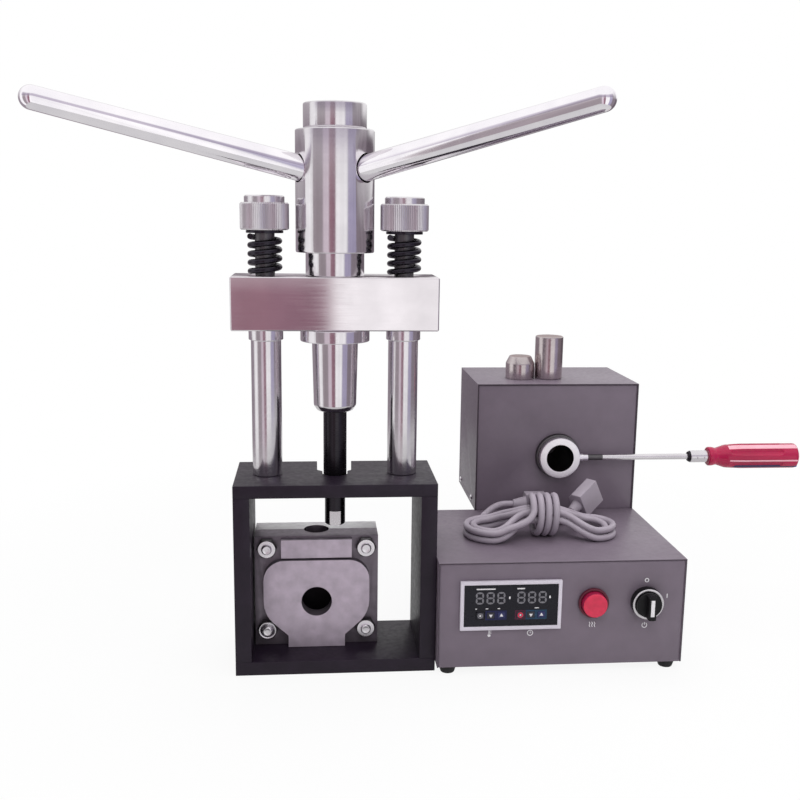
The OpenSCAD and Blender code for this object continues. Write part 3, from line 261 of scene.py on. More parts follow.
def edit(piece):
    select_only(piece)
    bpy.ops.object.mode_set(mode="EDIT")
    bpy.ops.mesh.select_mode(type="VERT")
    bpy.ops.mesh.select_all(action="SELECT")


def done():
    bpy.ops.object.mode_set(mode="OBJECT")
    return bpy.context.object


def name_it(name):
    piece = bpy.context.object
    piece.name = name
    piece.data.name = name
    return piece


def select_where(kind, test):
    """Select, in edit mode, the verts, edges or faces that pass a test."""
    mesh = bmesh.from_edit_mesh(bpy.context.object.data)
    bpy.ops.mesh.select_mode(type={"verts": "VERT", "edges": "EDGE", "faces": "FACE"}[kind])
    bpy.ops.mesh.select_all(action="DESELECT")
    for element in getattr(mesh, kind):
        if test(element):
            element.select_set(True)
    mesh.select_flush_mode()
    bmesh.update_edit_mesh(bpy.context.object.data)


def close_up(piece):
    """Merge doubled points and turn the faces outwards."""
    edit(piece)
    bpy.ops.mesh.remove_doubles(threshold=MERGE_DISTANCE)
    bpy.ops.mesh.normals_make_consistent(inside=False)
    return done()


def put(piece, place):
    """Move a piece to its place and leave the place in its mesh."""
    select_only(piece)
    piece.matrix_world = place @ piece.matrix_world
    bpy.ops.object.transform_apply(location=True, rotation=True, scale=True)
    return piece


def smooth(piece, degrees=28):
    select_only(piece)
    bpy.ops.object.shade_smooth_by_angle(angle=math.radians(degrees))
    return piece


def apply_modifier(piece, kind, **settings):
    select_only(piece)
    modifier = piece.modifiers.new(kind.title(), kind)
    for key, value in settings.items():
        setattr(modifier, key, value)
    bpy.ops.object.modifier_apply(modifier=modifier.name)
    return piece


def bevel(piece, width, segments=3, degrees=32):
    return apply_modifier(piece, "BEVEL", width=width, segments=segments, limit_method="ANGLE",
                          angle_limit=math.radians(degrees), use_clamp_overlap=True, harden_normals=False)


def cut_with(piece, cutter, operation="DIFFERENCE"):
    """Cut a piece with a helper solid, which is then thrown away."""
    apply_modifier(piece, "BOOLEAN", object=cutter, operation=operation, solver="EXACT")
    bpy.data.objects.remove(cutter)
    return piece


def join(name, pieces):
    deselect_all()
    for piece in pieces:
        piece.select_set(True)
    bpy.context.view_layer.objects.active = pieces[0]
    bpy.ops.object.join()
    return name_it(name)


def twin(piece, name, place):
    """A copy of a piece with a mesh of its own."""
    select_only(piece)
    bpy.ops.object.duplicate(linked=False)
    return put(name_it(name), place)


def copies(piece, places):
    """Copies of a piece at all but the first of its places, and the piece itself at the first."""
    others = [twin(piece, piece.name, place) for place in places[1:]]
    return [put(piece, places[0]), *others]


def pair(piece, kind):
    """The left piece and its copy on the right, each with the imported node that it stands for."""
    left, right = "left_" + kind, "right_" + kind
    copy = twin(piece, "press_" + right, Matrix.Translation(middle(right) - middle(left)))
    return (left, piece), (right, copy)


def shift(x=0.0, y=0.0, z=0.0):
    return Matrix.Translation((x, y, z))


def facing_right(x, y, z):
    """Place whose local Z axis runs to the right."""
    return shift(x, y, z) @ Matrix.Rotation(math.pi / 2, 4, "Y")


def facing_back(x, y, z):
    """Place whose local Z axis runs to the back."""
    return shift(x, y, z) @ Matrix.Rotation(-math.pi / 2, 4, "X")


def facing_front(x, y, z):
    """Place whose local Z axis runs to the front, with local X to the right and local Y up."""
    return shift(x, y, z) @ Matrix.Rotation(math.pi / 2, 4, "X")


def soften(outline, radius, steps=4):
    """Round the corners between an outline's ends, less where an edge is short."""
    points = [Vector(p) for p in outline]
    rounded = [points[0]]
    for before, corner, after in zip(points, points[1:], points[2:]):
        back, ahead = before - corner, after - corner
        reach = min(radius, 0.45 * back.length, 0.45 * ahead.length)
        start = corner + reach * back.normalized()
        stop = corner + reach * ahead.normalized()
        for i in range(steps + 1):
            s = i / steps
            rounded.append((1 - s) ** 2 * start + 2 * s * (1 - s) * corner + s * s * stop)
    return rounded + [points[-1]]


def draw_outline(name, outline):
    """Draw an outline of radius and height, point by point, in the XZ plane."""
    deselect_all()
    bpy.ops.mesh.primitive_plane_add(size=MM)
    edit(name_it(name))
    bpy.ops.mesh.merge(type="CENTER")
    points = [Vector((r, 0, z)) for r, z in outline]
    bpy.ops.transform.translate(value=points[0])
    for before, after in zip(points, points[1:]):
        bpy.ops.mesh.extrude_region_move(TRANSFORM_OT_translate={"value": after - before})
    return done()


def turn_on_lathe(name, outline, place=Matrix(), steps=96, degrees=28):
    """Spin an outline of radius and height round its axis."""
    piece = draw_outline(name, outline)
    edit(piece)
    bpy.ops.mesh.spin(steps=steps, angle=2 * math.pi, center=(0, 0, 0), axis=(0, 0, 1))
    bpy.ops.mesh.select_all(action="SELECT")
    done()
    close_up(piece)
    put(piece, place)
    return smooth(piece, degrees)


def block(name, lo, hi):
    """A cube stretched between two corners."""
    deselect_all()
    lo, hi = Vector(lo), Vector(hi)
    bpy.ops.mesh.primitive_cube_add(size=1)
    piece = name_it(name)
    return put(piece, Matrix.Translation((lo + hi) / 2) @ Matrix.Diagonal((*(hi - lo), 1)))


def rod(name, radius, depth, place=Matrix(), sides=64):
    """A cylinder from the place's origin along its local Z axis."""
    deselect_all()
    bpy.ops.mesh.primitive_cylinder_add(vertices=sides, radius=radius, depth=depth,
                                        location=(0, 0, depth / 2))
    piece = name_it(name)
    bpy.ops.object.transform_apply(location=True, rotation=True, scale=True)
    return put(piece, place)


def dress_copy(name, node, width, segments=3, degrees=32):
    """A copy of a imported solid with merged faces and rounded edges."""
    piece = bpy.data.objects.new(name, frame["nodes"][node].data.copy())
    piece.data.name = name
    bpy.context.scene.collection.objects.link(piece)
    piece.data.materials.clear()
    select_only(piece)
    bpy.ops.mesh.customdata_custom_splitnormals_clear()
    edit(piece)
    bpy.ops.mesh.remove_doubles(threshold=MERGE_DISTANCE)
    bpy.ops.mesh.dissolve_limited(angle_limit=math.radians(0.5))
    done()
    bevel(piece, width, segments, degrees)
    return smooth(piece)


def printed_ring(name, inner, outer, place):
    """A flat ring, as thick as print, on a place that faces along its local Z axis."""
    return turn_on_lathe(name, [(inner, 0), (outer, 0), (outer, SKIN), (inner, SKIN), (inner, 0)], place, 48)


def printed_bar(name, width, height, place):
    """A flat bar, as thick as print, with rounded corners."""
    bar = block(name, (-width / 2, -height / 2, 0), (width / 2, height / 2, SKIN))
    return put(bevel(bar, PRINT_EDGE, 1), place)


def coat(piece, *finishes):
    """Give a piece its finishes, with the first one on every face."""
    piece.data.materials.clear()
    for finish in finishes:
        piece.data.materials.append(bpy.data.materials[finish + FINISH])
    return piece


def coat_where(piece, number, test):
    """Lay one of a piece's finishes on the faces that pass a test."""
    edit(piece)
    select_where("faces", test)
    piece.active_material_index = number
    bpy.ops.object.material_slot_assign()
    return done()


def hand_over(piece, slot, *nodes, body=None):
    """Give a piece its slot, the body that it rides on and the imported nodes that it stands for."""
    if not piece.data.materials:
        coat(piece, slot)
    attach(piece, body or body_of(nodes[0]))
    if nodes:
        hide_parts(*nodes)
    return piece


def middle(node):
    lo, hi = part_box(node)
    return (lo + hi) / 2


def radius_of(node):
    """Half the width of a round node that stands upright."""
    lo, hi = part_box(node)
    return (hi.x - lo.x) / 2


def body_of(node):
    return frame["nodes"][node]["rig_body"]


# Finishes


class Finish:
    """A procedural finish on one Principled shader, patterned on object coordinates."""

    def __init__(self, name, **constants):
        material = bpy.data.materials.new(name + FINISH)
        material.use_nodes = True
        self.tree = material.node_tree
        self.shader = self.tree.nodes["Principled BSDF"]
        for socket, value in constants.items():
            self.shader.inputs[socket.replace("_", " ").title().replace("Ior", "IOR")].default_value = value
        self.coordinates = self.tree.nodes.new("ShaderNodeTexCoord").outputs["Object"]

    def link(self, source, target):
        self.tree.links.new(source, target)

    def grain(self, scale, stretch=(1, 1, 1), turn=(0, 0, 0), detail=3.0):
        """Noise of a number of grains per metre, stretched along the axes."""
        mapping = self.tree.nodes.new("ShaderNodeMapping")
        mapping.inputs["Scale"].default_value = stretch
        mapping.inputs["Rotation"].default_value = turn
        noise = self.tree.nodes.new("ShaderNodeTexNoise")
        noise.inputs["Scale"].default_value = scale
        noise.inputs["Detail"].default_value = detail
        self.link(self.coordinates, mapping.inputs["Vector"])
        self.link(mapping.outputs["Vector"], noise.inputs["Vector"])
        return noise.outputs["Fac"]

    def tint(self, pattern, colour_value, spread, low=0.3, high=0.7):
        """Vary the colour by a share either way."""
        ramp = self.tree.nodes.new("ShaderNodeValToRGB")
        for element, position, factor in zip(ramp.color_ramp.elements, (low, high), (1 - spread, 1 + spread)):
            element.position = position
            element.color = [min(1, c * factor) for c in colour_value] + [1]
        self.link(pattern, ramp.inputs["Fac"])
        self.link(ramp.outputs["Color"], self.shader.inputs["Base Color"])
        return ramp.outputs["Color"]

    def gloss(self, pattern, smoothest, roughest):
        """Vary the roughness between two values."""
        spread = self.tree.nodes.new("ShaderNodeMapRange")
        spread.inputs["From Min"].default_value = 0.3
        spread.inputs["From Max"].default_value = 0.7
        spread.inputs["To Min"].default_value = smoothest
        spread.inputs["To Max"].default_value = roughest
        self.link(pattern, spread.inputs["Value"])
        self.link(spread.outputs["Result"], self.shader.inputs["Roughness"])

    def relief(self, pattern, strength, height):
        """Raise the surface a little by a pattern."""
        bump = self.tree.nodes.new("ShaderNodeBump")
        bump.inputs["Strength"].default_value = strength
        bump.inputs["Distance"].default_value = height
        self.link(pattern, bump.inputs["Height"])
        self.link(bump.outputs["Normal"], self.shader.inputs["Normal"])


def painted(name, paint, roughness, grain_scale, relief, spread=0.06, height=0.0001, specular=0.5):
    """Sprayed or moulded surface: fine relief, slight clouding and uneven gloss."""
    finish = Finish(name, specular_ior_level=specular)
    finish.tint(finish.grain(60, detail=4), paint, spread)
    finish.gloss(finish.grain(220), *roughness)
    finish.relief(finish.grain(grain_scale, detail=2), relief, height)
    return finish


def metal(name, tone, roughness, stretch, relief=0.05, lines=900, spread=0.05):
    """Machined metal with tool lines across the stretched axes."""
    finish = Finish(name, metallic=1.0)
    finish.tint(finish.grain(45, detail=4), tone, spread)
    lines_pattern = finish.grain(lines, stretch, detail=2)
    finish.gloss(lines_pattern, *roughness)
    finish.relief(lines_pattern, relief, 0.00004)
    return finish


def make_finishes():
    """Make every finish once, named as the material slots are."""
    tone = colours()
    steel = [*tone.steel]
    rings, even, along_x = (0.02, 0.02, 1), (1, 1, 1), (0.03, 1, 1)
    painted("frame_paint", tone.frame_paint, (0.34, 0.48), 1400, 0.12, 0.18, specular=0.3)
    metal("bright_steel", steel, (0.10, 0.17), rings)
    metal("column_steel", steel, (0.15, 0.22), rings, 0.03)
    metal("handle_steel", tone.chrome, (0.06, 0.12), even, 0.02)
    metal("ground_steel", tone.ground, (0.08, 0.14), along_x, 0.05, 700)
    metal("knurled_steel", [0.95 * c for c in steel], (0.28, 0.40), even)
    metal("spring_steel", tone.spring, (0.20, 0.32), even, spread=0.2)
    metal("black_oxide", tone.ram, (0.22, 0.34), rings, spread=0.15)
    metal("zinc_bolts", tone.chrome, (0.26, 0.38), even)
    metal("screw_steel", steel, (0.18, 0.28), even)
    metal("switch_metal", steel, (0.24, 0.34), even)
    # Painted shade for inside the barrel's bore: a dark copy of the steel.
    metal("barrel_bore", [0.16 * c for c in tone.steel], (0.3, 0.42), even, spread=0.15)
    # Painted shade for the flask's hollows: a dark copy of the cast metal.
    metal("flask_hollow", [0.18 * c for c in tone.flask], (0.5, 0.62), even, 0.2, spread=0.2)
    # Dark metal of the heater core, the column studs and the shaft's end; on the flask nuts' sides it is painted
    # shade.
    metal("core_metal", [0.2 * c for c in tone.steel], (0.38, 0.52), even, spread=0.15)
    metal("barrel_metal", tone.chrome, (0.28, 0.40), even)
    metal("cartridge_metal", [0.8 * c for c in tone.cylinder], (0.16, 0.26), rings, spread=0.10)
    metal("cartridge_top", tone.cylinder_top, (0.30, 0.42), even, spread=0.15)
    painted("casing_paint", tone.casing, (0.32, 0.44), 1600, 0.10, 0.05)
    painted("casing_edge", tone.casing_edge, (0.4, 0.5), 1600, 0.08, 0.08)
    painted("black_rubber", tone.rubber, (0.6, 0.75), 1200, 0.15, 0.15)
    painted("meter_plastic", tone.meter, (0.24, 0.34), 1500, 0.05, 0.10, specular=0.3)
    painted("key_plastic", tone.key, (0.4, 0.52), 2200, 0.08, 0.08)
    painted("lamp_housing", tone.lamp_rim, (0.30, 0.42), 1500, 0.06, 0.10)
    painted("knob_plastic", tone.knob, (0.30, 0.42), 1500, 0.08, 0.12, specular=0.25)
    painted("inlet_plastic", tone.rubber, (0.35, 0.48), 1500, 0.08, 0.12)
    painted("insulation", tone.insulation, (0.85, 0.95), 500, 0.5, 0.08, 0.0006)
    painted("cord_pvc", tone.cord, (0.40, 0.52), 900, 0.10, 0.06)
    painted("lamp_side", tone.lamp_side, (0.24, 0.34), 1500, 0.06, 0.10)
    painted("key_blue", tone.key_blue, (0.4, 0.52), 2200, 0.08, 0.08)
    painted("meter_rim", tone.meter_rim, (0.28, 0.38), 1800, 0.06, 0.05)
    painted("red_marks", tone.lamp, (0.4, 0.5), 2000, 0.03, 0.05)
    painted("grey_marks", tone.digit, (0.4, 0.5), 2000, 0.03, 0.05)
    painted("white_marks", tone.mark, (0.4, 0.5), 2000, 0.03, 0.03)
    for pad in ("pad_blue", "pad_red", "pad_teal"):
        painted(pad, getattr(tone, pad), (0.35, 0.45), 2000, 0.04, 0.06, specular=0.3)
    # The grip's dark strip and blue dot are inlays; its pale pink is painted highlight.
    for grip_inlay_and_highlight in ("grip_streak", "grip_core", "grip_dot"):
        painted(grip_inlay_and_highlight, getattr(tone, grip_inlay_and_highlight), (0.3, 0.4), 900, 0.05, 0.1)
    make_flask_metal("flask_metal", tone.flask, 0.65)
    make_flask_metal("flask_boss", tone.boss, 0.2)
    make_flask_metal("flask_machined", tone.chrome, 0.25)
    make_lamp_lens(tone.lamp)
    make_grip_resin(tone.grip)


def make_flask_metal(name, tone, metallic):
    """Cast light alloy: grainy, dull and a little blotched."""
    finish = Finish(name, metallic=metallic)
    finish.tint(finish.grain(90, detail=6), tone, 0.14)
    finish.gloss(finish.grain(260, detail=4), 0.36, 0.52)
    finish.relief(finish.grain(1100, detail=3), 0.22, 0.00015)


def make_lamp_lens(tone):
    """Clear red moulding with a soft inner ring pattern."""
    finish = Finish("lamp_red", transmission_weight=0.08, ior=1.49, coat_weight=0.25, coat_roughness=0.1)
    finish.tint(finish.grain(160), tone, 0.12)
    finish.gloss(finish.grain(320), 0.12, 0.2)
    finish.relief(finish.grain(900), 0.08, 0.0001)


def make_grip_resin(tone):
    """Translucent red resin with a polished skin."""
    finish = Finish("grip_plastic", subsurface_weight=0.08, subsurface_scale=0.004, coat_weight=0.25,
                    coat_roughness=0.15, ior=1.5, specular_ior_level=0.35)
    finish.shader.inputs["Subsurface Radius"].default_value = (1.0, 0.25, 0.25)
    finish.tint(finish.grain(70, (0.3, 1, 1), detail=4), tone, 0.12)
    finish.gloss(finish.grain(260), 0.16, 0.26)
    finish.relief(finish.grain(700, (0.2, 1, 1)), 0.02, 0.0001)


# Stage


class Wiring:
    """The nodes of one emptied tree, added and linked in short form."""

    def __init__(self, tree):
        tree.nodes.clear()
        self.tree = tree
        self.add = tree.nodes.new

    def feed(self, socket, value):
        """Link an output to a socket, or set the socket's own value."""
        if isinstance(value, bpy.types.NodeSocket):
            self.tree.links.new(value, socket)
        else:
            socket.default_value = value

    def maths(self, operation, *values):
        node = self.add("ShaderNodeMath")
        node.operation = operation
        for socket, value in zip(node.inputs, values):
            self.feed(socket, value)
        return node.outputs[0]

    def mixed(self, factor, first, second, blend="MIX"):
        """A mix of two colours."""
        node = self.add("ShaderNodeMix")
        node.data_type, node.blend_type = "RGBA", blend
        self.feed(node.inputs["Factor"], factor)
        self.feed(node.inputs[6], first)
        self.feed(node.inputs[7], second)
        return node.outputs[2]

    def rise(self, value, start, stop):
        """A share that climbs smoothly from nought to one."""
        node = self.add("ShaderNodeMapRange")
        node.interpolation_type = "SMOOTHSTEP"
        node.inputs["From Min"].default_value = start
        node.inputs["From Max"].default_value = stop
        self.feed(node.inputs["Value"], value)
        return node.outputs["Result"]


class INJECTOR_OT_stage(bpy.types.Operator):
    """Set up the camera, the pale floor and the studio light"""
    bl_idname = "injector.stage"
    bl_label = "Stage"

    SENSOR = 36.0
    WHITE = (1, 1, 1, 1)
    BANDS = ((-180, "9a9098"), (-103, "ffffff"), (-68, "a1979c"), (-36, "d9ccd5"), (-18, "9a7682"),
             (-9, "957280"), (0.6, "ffffff"), (36, "aca6bf"), (64, "8a8088"), (103, "6e646c"), (180, "6e646c"))
    BAND_EDGE = 0.003
    STREAKS, STREAK_SPREAD = 9.0, 0.3
    OVERHEAD_GAIN, OVERHEAD_EDGE = 1.6, 0.1
    SCREEN_FOOT, SCREEN_TOP, SCREEN_SHADE = (0.12, 0.22), (0.45, 0.62), (0.58, 0.54, 0.62, 1)
    SCREEN_FRONT = (0.05, 0.35)
    WALL_BACK, WALL_RIGHT, WALL_FOOT = (0.2, 0.6), (-0.1, 0.3), (0.05, 0.15)
    FLOOR_MIDDLE, FLOOR_RADIUS = Vector((0.1, 0.15, 0)), 0.75
    FLOOR_NEAR, FLOOR_FAR, FLOOR_GLOW, FLOOR_GLOSS = 0.35, 0.7, 0.9, 0.38
    FLOOR_GRAIN, FLOOR_TINTS = 30, (0.94, 0.97)
    LIGHT_AIM = Vector((0.1, 0.05, 0.2))

    def execute(self, context):
        self.add_camera()
        self.add_world()
        self.add_floor()
        self.add_lights()
        context.scene.view_settings.view_transform = "Standard"
        return {"FINISHED"}

    def add_camera(self):
        v = view()
        ahead = Vector((math.sin(v.yaw) * math.cos(v.pitch), math.cos(v.yaw) * math.cos(v.pitch),
                        -math.sin(v.pitch)))
        level = Vector((math.cos(v.yaw), -math.sin(v.yaw), 0))
        upright = level.cross(ahead)
        right = math.cos(v.roll) * level + math.sin(v.roll) * upright
        up = math.cos(v.roll) * upright - math.sin(v.roll) * level
        deselect_all()
        bpy.ops.object.camera_add()
        camera = name_it("camera")
        place = Matrix((right, up, -ahead)).transposed().to_4x4()
        place.translation = (v.camera_x, v.camera_y, v.camera_z)
        camera.matrix_world = place
        camera.data.sensor_width = self.SENSOR
        camera.data.lens = v.focal * self.SENSOR / IMAGE_SIDE
        bpy.context.scene.camera = camera

    def add_world(self):
        """White where the camera looks, grey and white screens in reflections, even light elsewhere."""
        world = bpy.data.worlds.new("studio")
        bpy.context.scene.world = world
        world.use_nodes = True
        wires = Wiring(world.node_tree)
        maths, mixed, rise = wires.maths, wires.mixed, wires.rise
        direction = wires.add("ShaderNodeSeparateXYZ")
        wires.feed(direction.inputs[0], wires.add("ShaderNodeTexCoord").outputs["Generated"])
        across, depth, height = direction.outputs
        to_front = maths("MULTIPLY", depth, -1)
        bands = self.add_bands(wires, maths("ARCTAN2", across, to_front))
        raised = maths("MULTIPLY", maths("MAXIMUM", height, 0), self.OVERHEAD_GAIN)
        screens = mixed(maths("SMOOTH_MIN", raised, 1, self.OVERHEAD_EDGE), bands, self.WHITE)
        low_band = maths("SUBTRACT", rise(height, *self.SCREEN_FOOT), rise(height, *self.SCREEN_TOP))
        in_front = maths("MULTIPLY", low_band, rise(to_front, *self.SCREEN_FRONT))
        screens = mixed(in_front, screens, self.SCREEN_SHADE, "MULTIPLY")
        behind = maths("MULTIPLY", rise(depth, *self.WALL_BACK), rise(across, *self.WALL_RIGHT))
        screens = mixed(maths("MULTIPLY", behind, rise(height, *self.WALL_FOOT)), screens, self.WHITE)
        ray = wires.add("ShaderNodeLightPath").outputs
        seen = maths("MAXIMUM", ray["Is Camera Ray"], ray["Is Transmission Ray"])
        level = view().room_level
        reflected = mixed(ray["Is Glossy Ray"], (level, level, level, 1), screens)
        background = wires.add("ShaderNodeBackground")
        wires.feed(background.inputs["Color"], mixed(seen, reflected, self.WHITE))
        wires.feed(wires.add("ShaderNodeOutputWorld").inputs["Surface"], background.outputs[0])

    def add_bands(self, wires, bearing):
        """Upright screens round the object, each with faint streaks."""
        ramp = wires.add("ShaderNodeValToRGB")
        ramp.color_ramp.interpolation = "EASE"
        self.fill_bands(ramp.color_ramp)
        share = wires.maths("ADD", wires.maths("DIVIDE", bearing, 2 * math.pi), 0.5)
        wires.feed(ramp.inputs["Fac"], share)
        streaks = wires.add("ShaderNodeTexNoise")
        streaks.noise_dimensions = "1D"
        streaks.inputs["Scale"].default_value = self.STREAKS
        wires.feed(streaks.inputs["W"], bearing)
        swing = wires.maths("SUBTRACT", streaks.outputs["Fac"], 0.5)
        shade = wires.maths("ADD", wires.maths("MULTIPLY", swing, 2 * self.STREAK_SPREAD), 1)
        bands = wires.add("ShaderNodeVectorMath")
        bands.operation = "SCALE"
        wires.feed(bands.inputs[0], ramp.outputs["Color"])
        wires.feed(bands.inputs["Scale"], shade)
        return bands.outputs[0]

    def fill_bands(self, ramp):
        """Hold each screen's colour up to the next one, with a soft edge between them."""
        stops = []
        for (start, code), (stop, _) in zip(self.BANDS, self.BANDS[1:]):
            stops.append(((start + 180) / 360 + self.BAND_EDGE, code))
            stops.append(((stop + 180) / 360 - self.BAND_EDGE, code))
        while len(ramp.elements) < len(stops):
            ramp.elements.new(0.5)
        for element, (position, code) in zip(ramp.elements, stops):
            element.position = position
            element.color = [*linear(code), 1]

    def add_floor(self):
        """A pale disc that takes the shadows and fades into the white background."""
        deselect_all()
        bpy.ops.mesh.primitive_circle_add(vertices=128, radius=self.FLOOR_RADIUS, fill_type="NGON",
                                          location=self.FLOOR_MIDDLE)
        floor = name_it("floor")
        material = bpy.data.materials.new("floor_white")
        material.use_nodes = True
        wires = Wiring(material.node_tree)
        maths = wires.maths
        place = wires.add("ShaderNodeTexCoord").outputs["Object"]
        distance = wires.add("ShaderNodeVectorMath")
        distance.operation = "LENGTH"
        wires.feed(distance.inputs[0], place)
        fade = wires.add("ShaderNodeMapRange")
        for socket, value in zip(fade.inputs[1:5], (self.FLOOR_NEAR, self.FLOOR_FAR, self.FLOOR_GLOW, 1)):
            socket.default_value = value
        wires.feed(fade.inputs["Value"], distance.outputs["Value"])
        grain = wires.add("ShaderNodeTexNoise")
        grain.inputs["Scale"].default_value = self.FLOOR_GRAIN
        wires.feed(grain.inputs["Vector"], place)
        tint = wires.add("ShaderNodeValToRGB")
        for element, value in zip(tint.color_ramp.elements, self.FLOOR_TINTS):
            element.color = (value, value, value, 1)
        wires.feed(tint.inputs["Fac"], grain.outputs["Fac"])
        paper = wires.add("ShaderNodeBsdfDiffuse")
        wires.feed(paper.inputs["Color"], tint.outputs["Color"])
        ray = wires.add("ShaderNodeLightPath").outputs
        seen = maths("MAXIMUM", ray["Is Camera Ray"], ray["Is Transmission Ray"])
        seen = maths("MAXIMUM", seen, ray["Is Glossy Ray"])
        glow = wires.add("ShaderNodeEmission")
        dimmed = maths("MULTIPLY", ray["Is Glossy Ray"], self.FLOOR_GLOSS)
        wires.feed(glow.inputs["Strength"], maths("SUBTRACT", 1, dimmed))
        mix = wires.add("ShaderNodeMixShader")
        wires.feed(mix.inputs["Fac"], maths("MULTIPLY", seen, fade.outputs["Result"]))
        wires.feed(mix.inputs[1], paper.outputs[0])
        wires.feed(mix.inputs[2], glow.outputs[0])
        wires.feed(wires.add("ShaderNodeOutputMaterial").inputs["Surface"], mix.outputs[0])
        floor.data.materials.append(material)

    def add_lights(self):
        v = view()
        self.add_light("key_light", (0.1, -1.2, 1.5), 1.0, v.key_power)
        self.add_light("top_light", (0.15, 0.25, 1.7), 1.4, v.top_power)
        self.add_light("fill_light", (1.3, -0.9, 0.9), 1.0, v.fill_power)

    def add_light(self, name, place, side, power):
        deselect_all()
        bpy.ops.object.light_add(type="AREA", location=place)
        light = name_it(name)
        light.data.size = side
        light.data.energy = power
        aim = self.LIGHT_AIM - Vector(place)
        light.rotation_euler = aim.to_track_quat("-Z", "Y").to_euler()
        light.visible_glossy = False


# Lead


class INJECTOR_OT_lead(bpy.types.Operator):
    """Lay the bundled power lead on the control box, with its connector and plug"""
    bl_idname = "injector.lead"
    bl_label = "Power lead"

    GAP = 0.5 * MM
    TURNS = 4
    LOBE_R, WAIST_R, WAIST_HALF = 30 * MM, 14 * MM, 16 * MM
    WRAP_R, WRAP_TURNS, WRAP_PITCH = 18.5 * MM, 3, 7.6 * MM
    WRAP_START = math.radians(40)
    LAYER_SHARE = 1.05
    START, STOP = 0.44, 3.64
    CLIMB_BEFORE, CLIMB_SPAN = 0.2, 0.32
    LIFT_NEAR, LIFT_FAR = 12 * MM, 54 * MM
    PLUG_PULL, HANK_PULL, WRAP_PULL, TAIL_PULL, CONNECTOR_PULL = 60 * MM, 25 * MM, 55 * MM, 69 * MM, 95 * MM
    MIDDLE = Vector((0.208, 0.020, 0.1151))
    PLUG_EXIT = Vector((-16, 68, 9.5)) * MM
    CONNECTOR_EXIT = Vector((42.5, 44.5, 7.5)) * MM
    CONNECTOR_TURN, CONNECTOR_TILT = math.radians(34), math.radians(30)
    STEPS = 96
    END_EDGE = 0.9 * MM

    def execute(self, context):
        points = [self.MIDDLE + p for p in self.route()]
        lead = self.lay_cord(points)
        connector = self.add_end("lead_connector", "cord_connector")
        plug = self.add_end("lead_plug", "cord_plug")
        hand_over(lead, "cord_pvc", "power_cord")
        return {"FINISHED"}

    def lay_cord(self, points):
        curve = bpy.data.curves.new("lead", "CURVE")
        curve.dimensions = "3D"
        spline = curve.splines.new("POLY")
        spline.points.add(len(points) - 1)
        for point, place in zip(spline.points, points):
            point.co = (*place, 1)
        spline.use_smooth = True
        curve.bevel_depth = sizes().cord_d / 2
        curve.bevel_resolution = 4
        curve.use_fill_caps = True
        lead = bpy.data.objects.new("lead", curve)
        bpy.context.scene.collection.objects.link(lead)
        return lead

    def add_end(self, name, node):
        return hand_over(dress_copy(name, node, self.END_EDGE), "cord_pvc", node)

    @property
    def lay(self):
        return sizes().cord_d + self.GAP

    @property
    def waist_y(self):
        return self.TURNS / 2 * self.lay

    def quarter_point(self, v, inset):
        """Point of the hank's outline at a share of a quarter loop from its right end."""
        lobe_x = self.WAIST_HALF + math.sqrt(2 * self.WAIST_R * (self.LOBE_R - self.waist_y)
                                             + self.LOBE_R ** 2 - self.waist_y ** 2)
        lobe_end = math.pi - math.atan((self.waist_y + self.WAIST_R) / (lobe_x - self.WAIST_HALF))
        lobe_run = self.LOBE_R * lobe_end
        bend_run = self.WAIST_R * (lobe_end - math.pi / 2)
        whole = lobe_run + bend_run + self.WAIST_HALF
        lobe_share, bend_share = lobe_run / whole, (lobe_run + bend_run) / whole
        if v < lobe_share:
            a = lobe_end * v / lobe_share
            r = self.LOBE_R - inset
            return lobe_x + r * math.cos(a), r * math.sin(a)
        if v < bend_share:
            a = lobe_end - math.pi - (lobe_end - math.pi / 2) * (v - lobe_share) / (bend_share - lobe_share)
            r = self.WAIST_R + inset
            return self.WAIST_HALF + r * math.cos(a), self.waist_y + self.WAIST_R + r * math.sin(a)
        return self.WAIST_HALF * (1 - v) / (1 - bend_share), self.waist_y - inset

    def loop_point(self, share, inset):
        quarter = math.floor(4 * share)
        v = 4 * share - quarter
        x, y = self.quarter_point(v if quarter % 2 == 0 else 1 - v, inset)
        return (x if quarter in (0, 3) else -x), (y if quarter < 2 else -y)

    @staticmethod
    def ease(x):
        c = max(0, min(1, x))
        return c * c * (3 - 2 * c)

    def hank_point(self, turns):
        """Point after a number of turns: spiralling in on the lower layer and out on the upper one."""
        x, y = self.loop_point(turns - math.floor(turns), self.lay * min(turns, self.TURNS - turns))
        layer = self.ease((turns - self.TURNS / 2 + self.CLIMB_BEFORE) / self.CLIMB_SPAN)
        rise = self.LAYER_SHARE * self.lay
        nearness = (self.LIFT_FAR - abs(x)) / (self.LIFT_FAR - self.LIFT_NEAR)
        lift = (self.WRAP_R - rise / 2) * self.ease(nearness)
        return Vector((x, y, rise * layer + lift))

    def wrap_point(self, a):
        """Point of the wraps round the waist."""
        whole = 2 * math.pi * self.WRAP_TURNS + math.pi / 2
        x = self.WRAP_PITCH * (a - whole / 2) / (2 * math.pi)
        return Vector((x, -self.WRAP_R * math.cos(a), self.WRAP_R + self.WRAP_R * math.sin(a)))

    def blend(self, p0, d0, p1, d1):
        """Points strictly between two ends of a smooth blend."""
        steps = self.STEPS // 3
        return [(1 + 2 * s) * (1 - s) ** 2 * p0 + s * (1 - s) ** 2 * d0
                + s * s * (3 - 2 * s) * p1 - s * s * (1 - s) * d1
                for s in (i / steps for i in range(1, steps))]

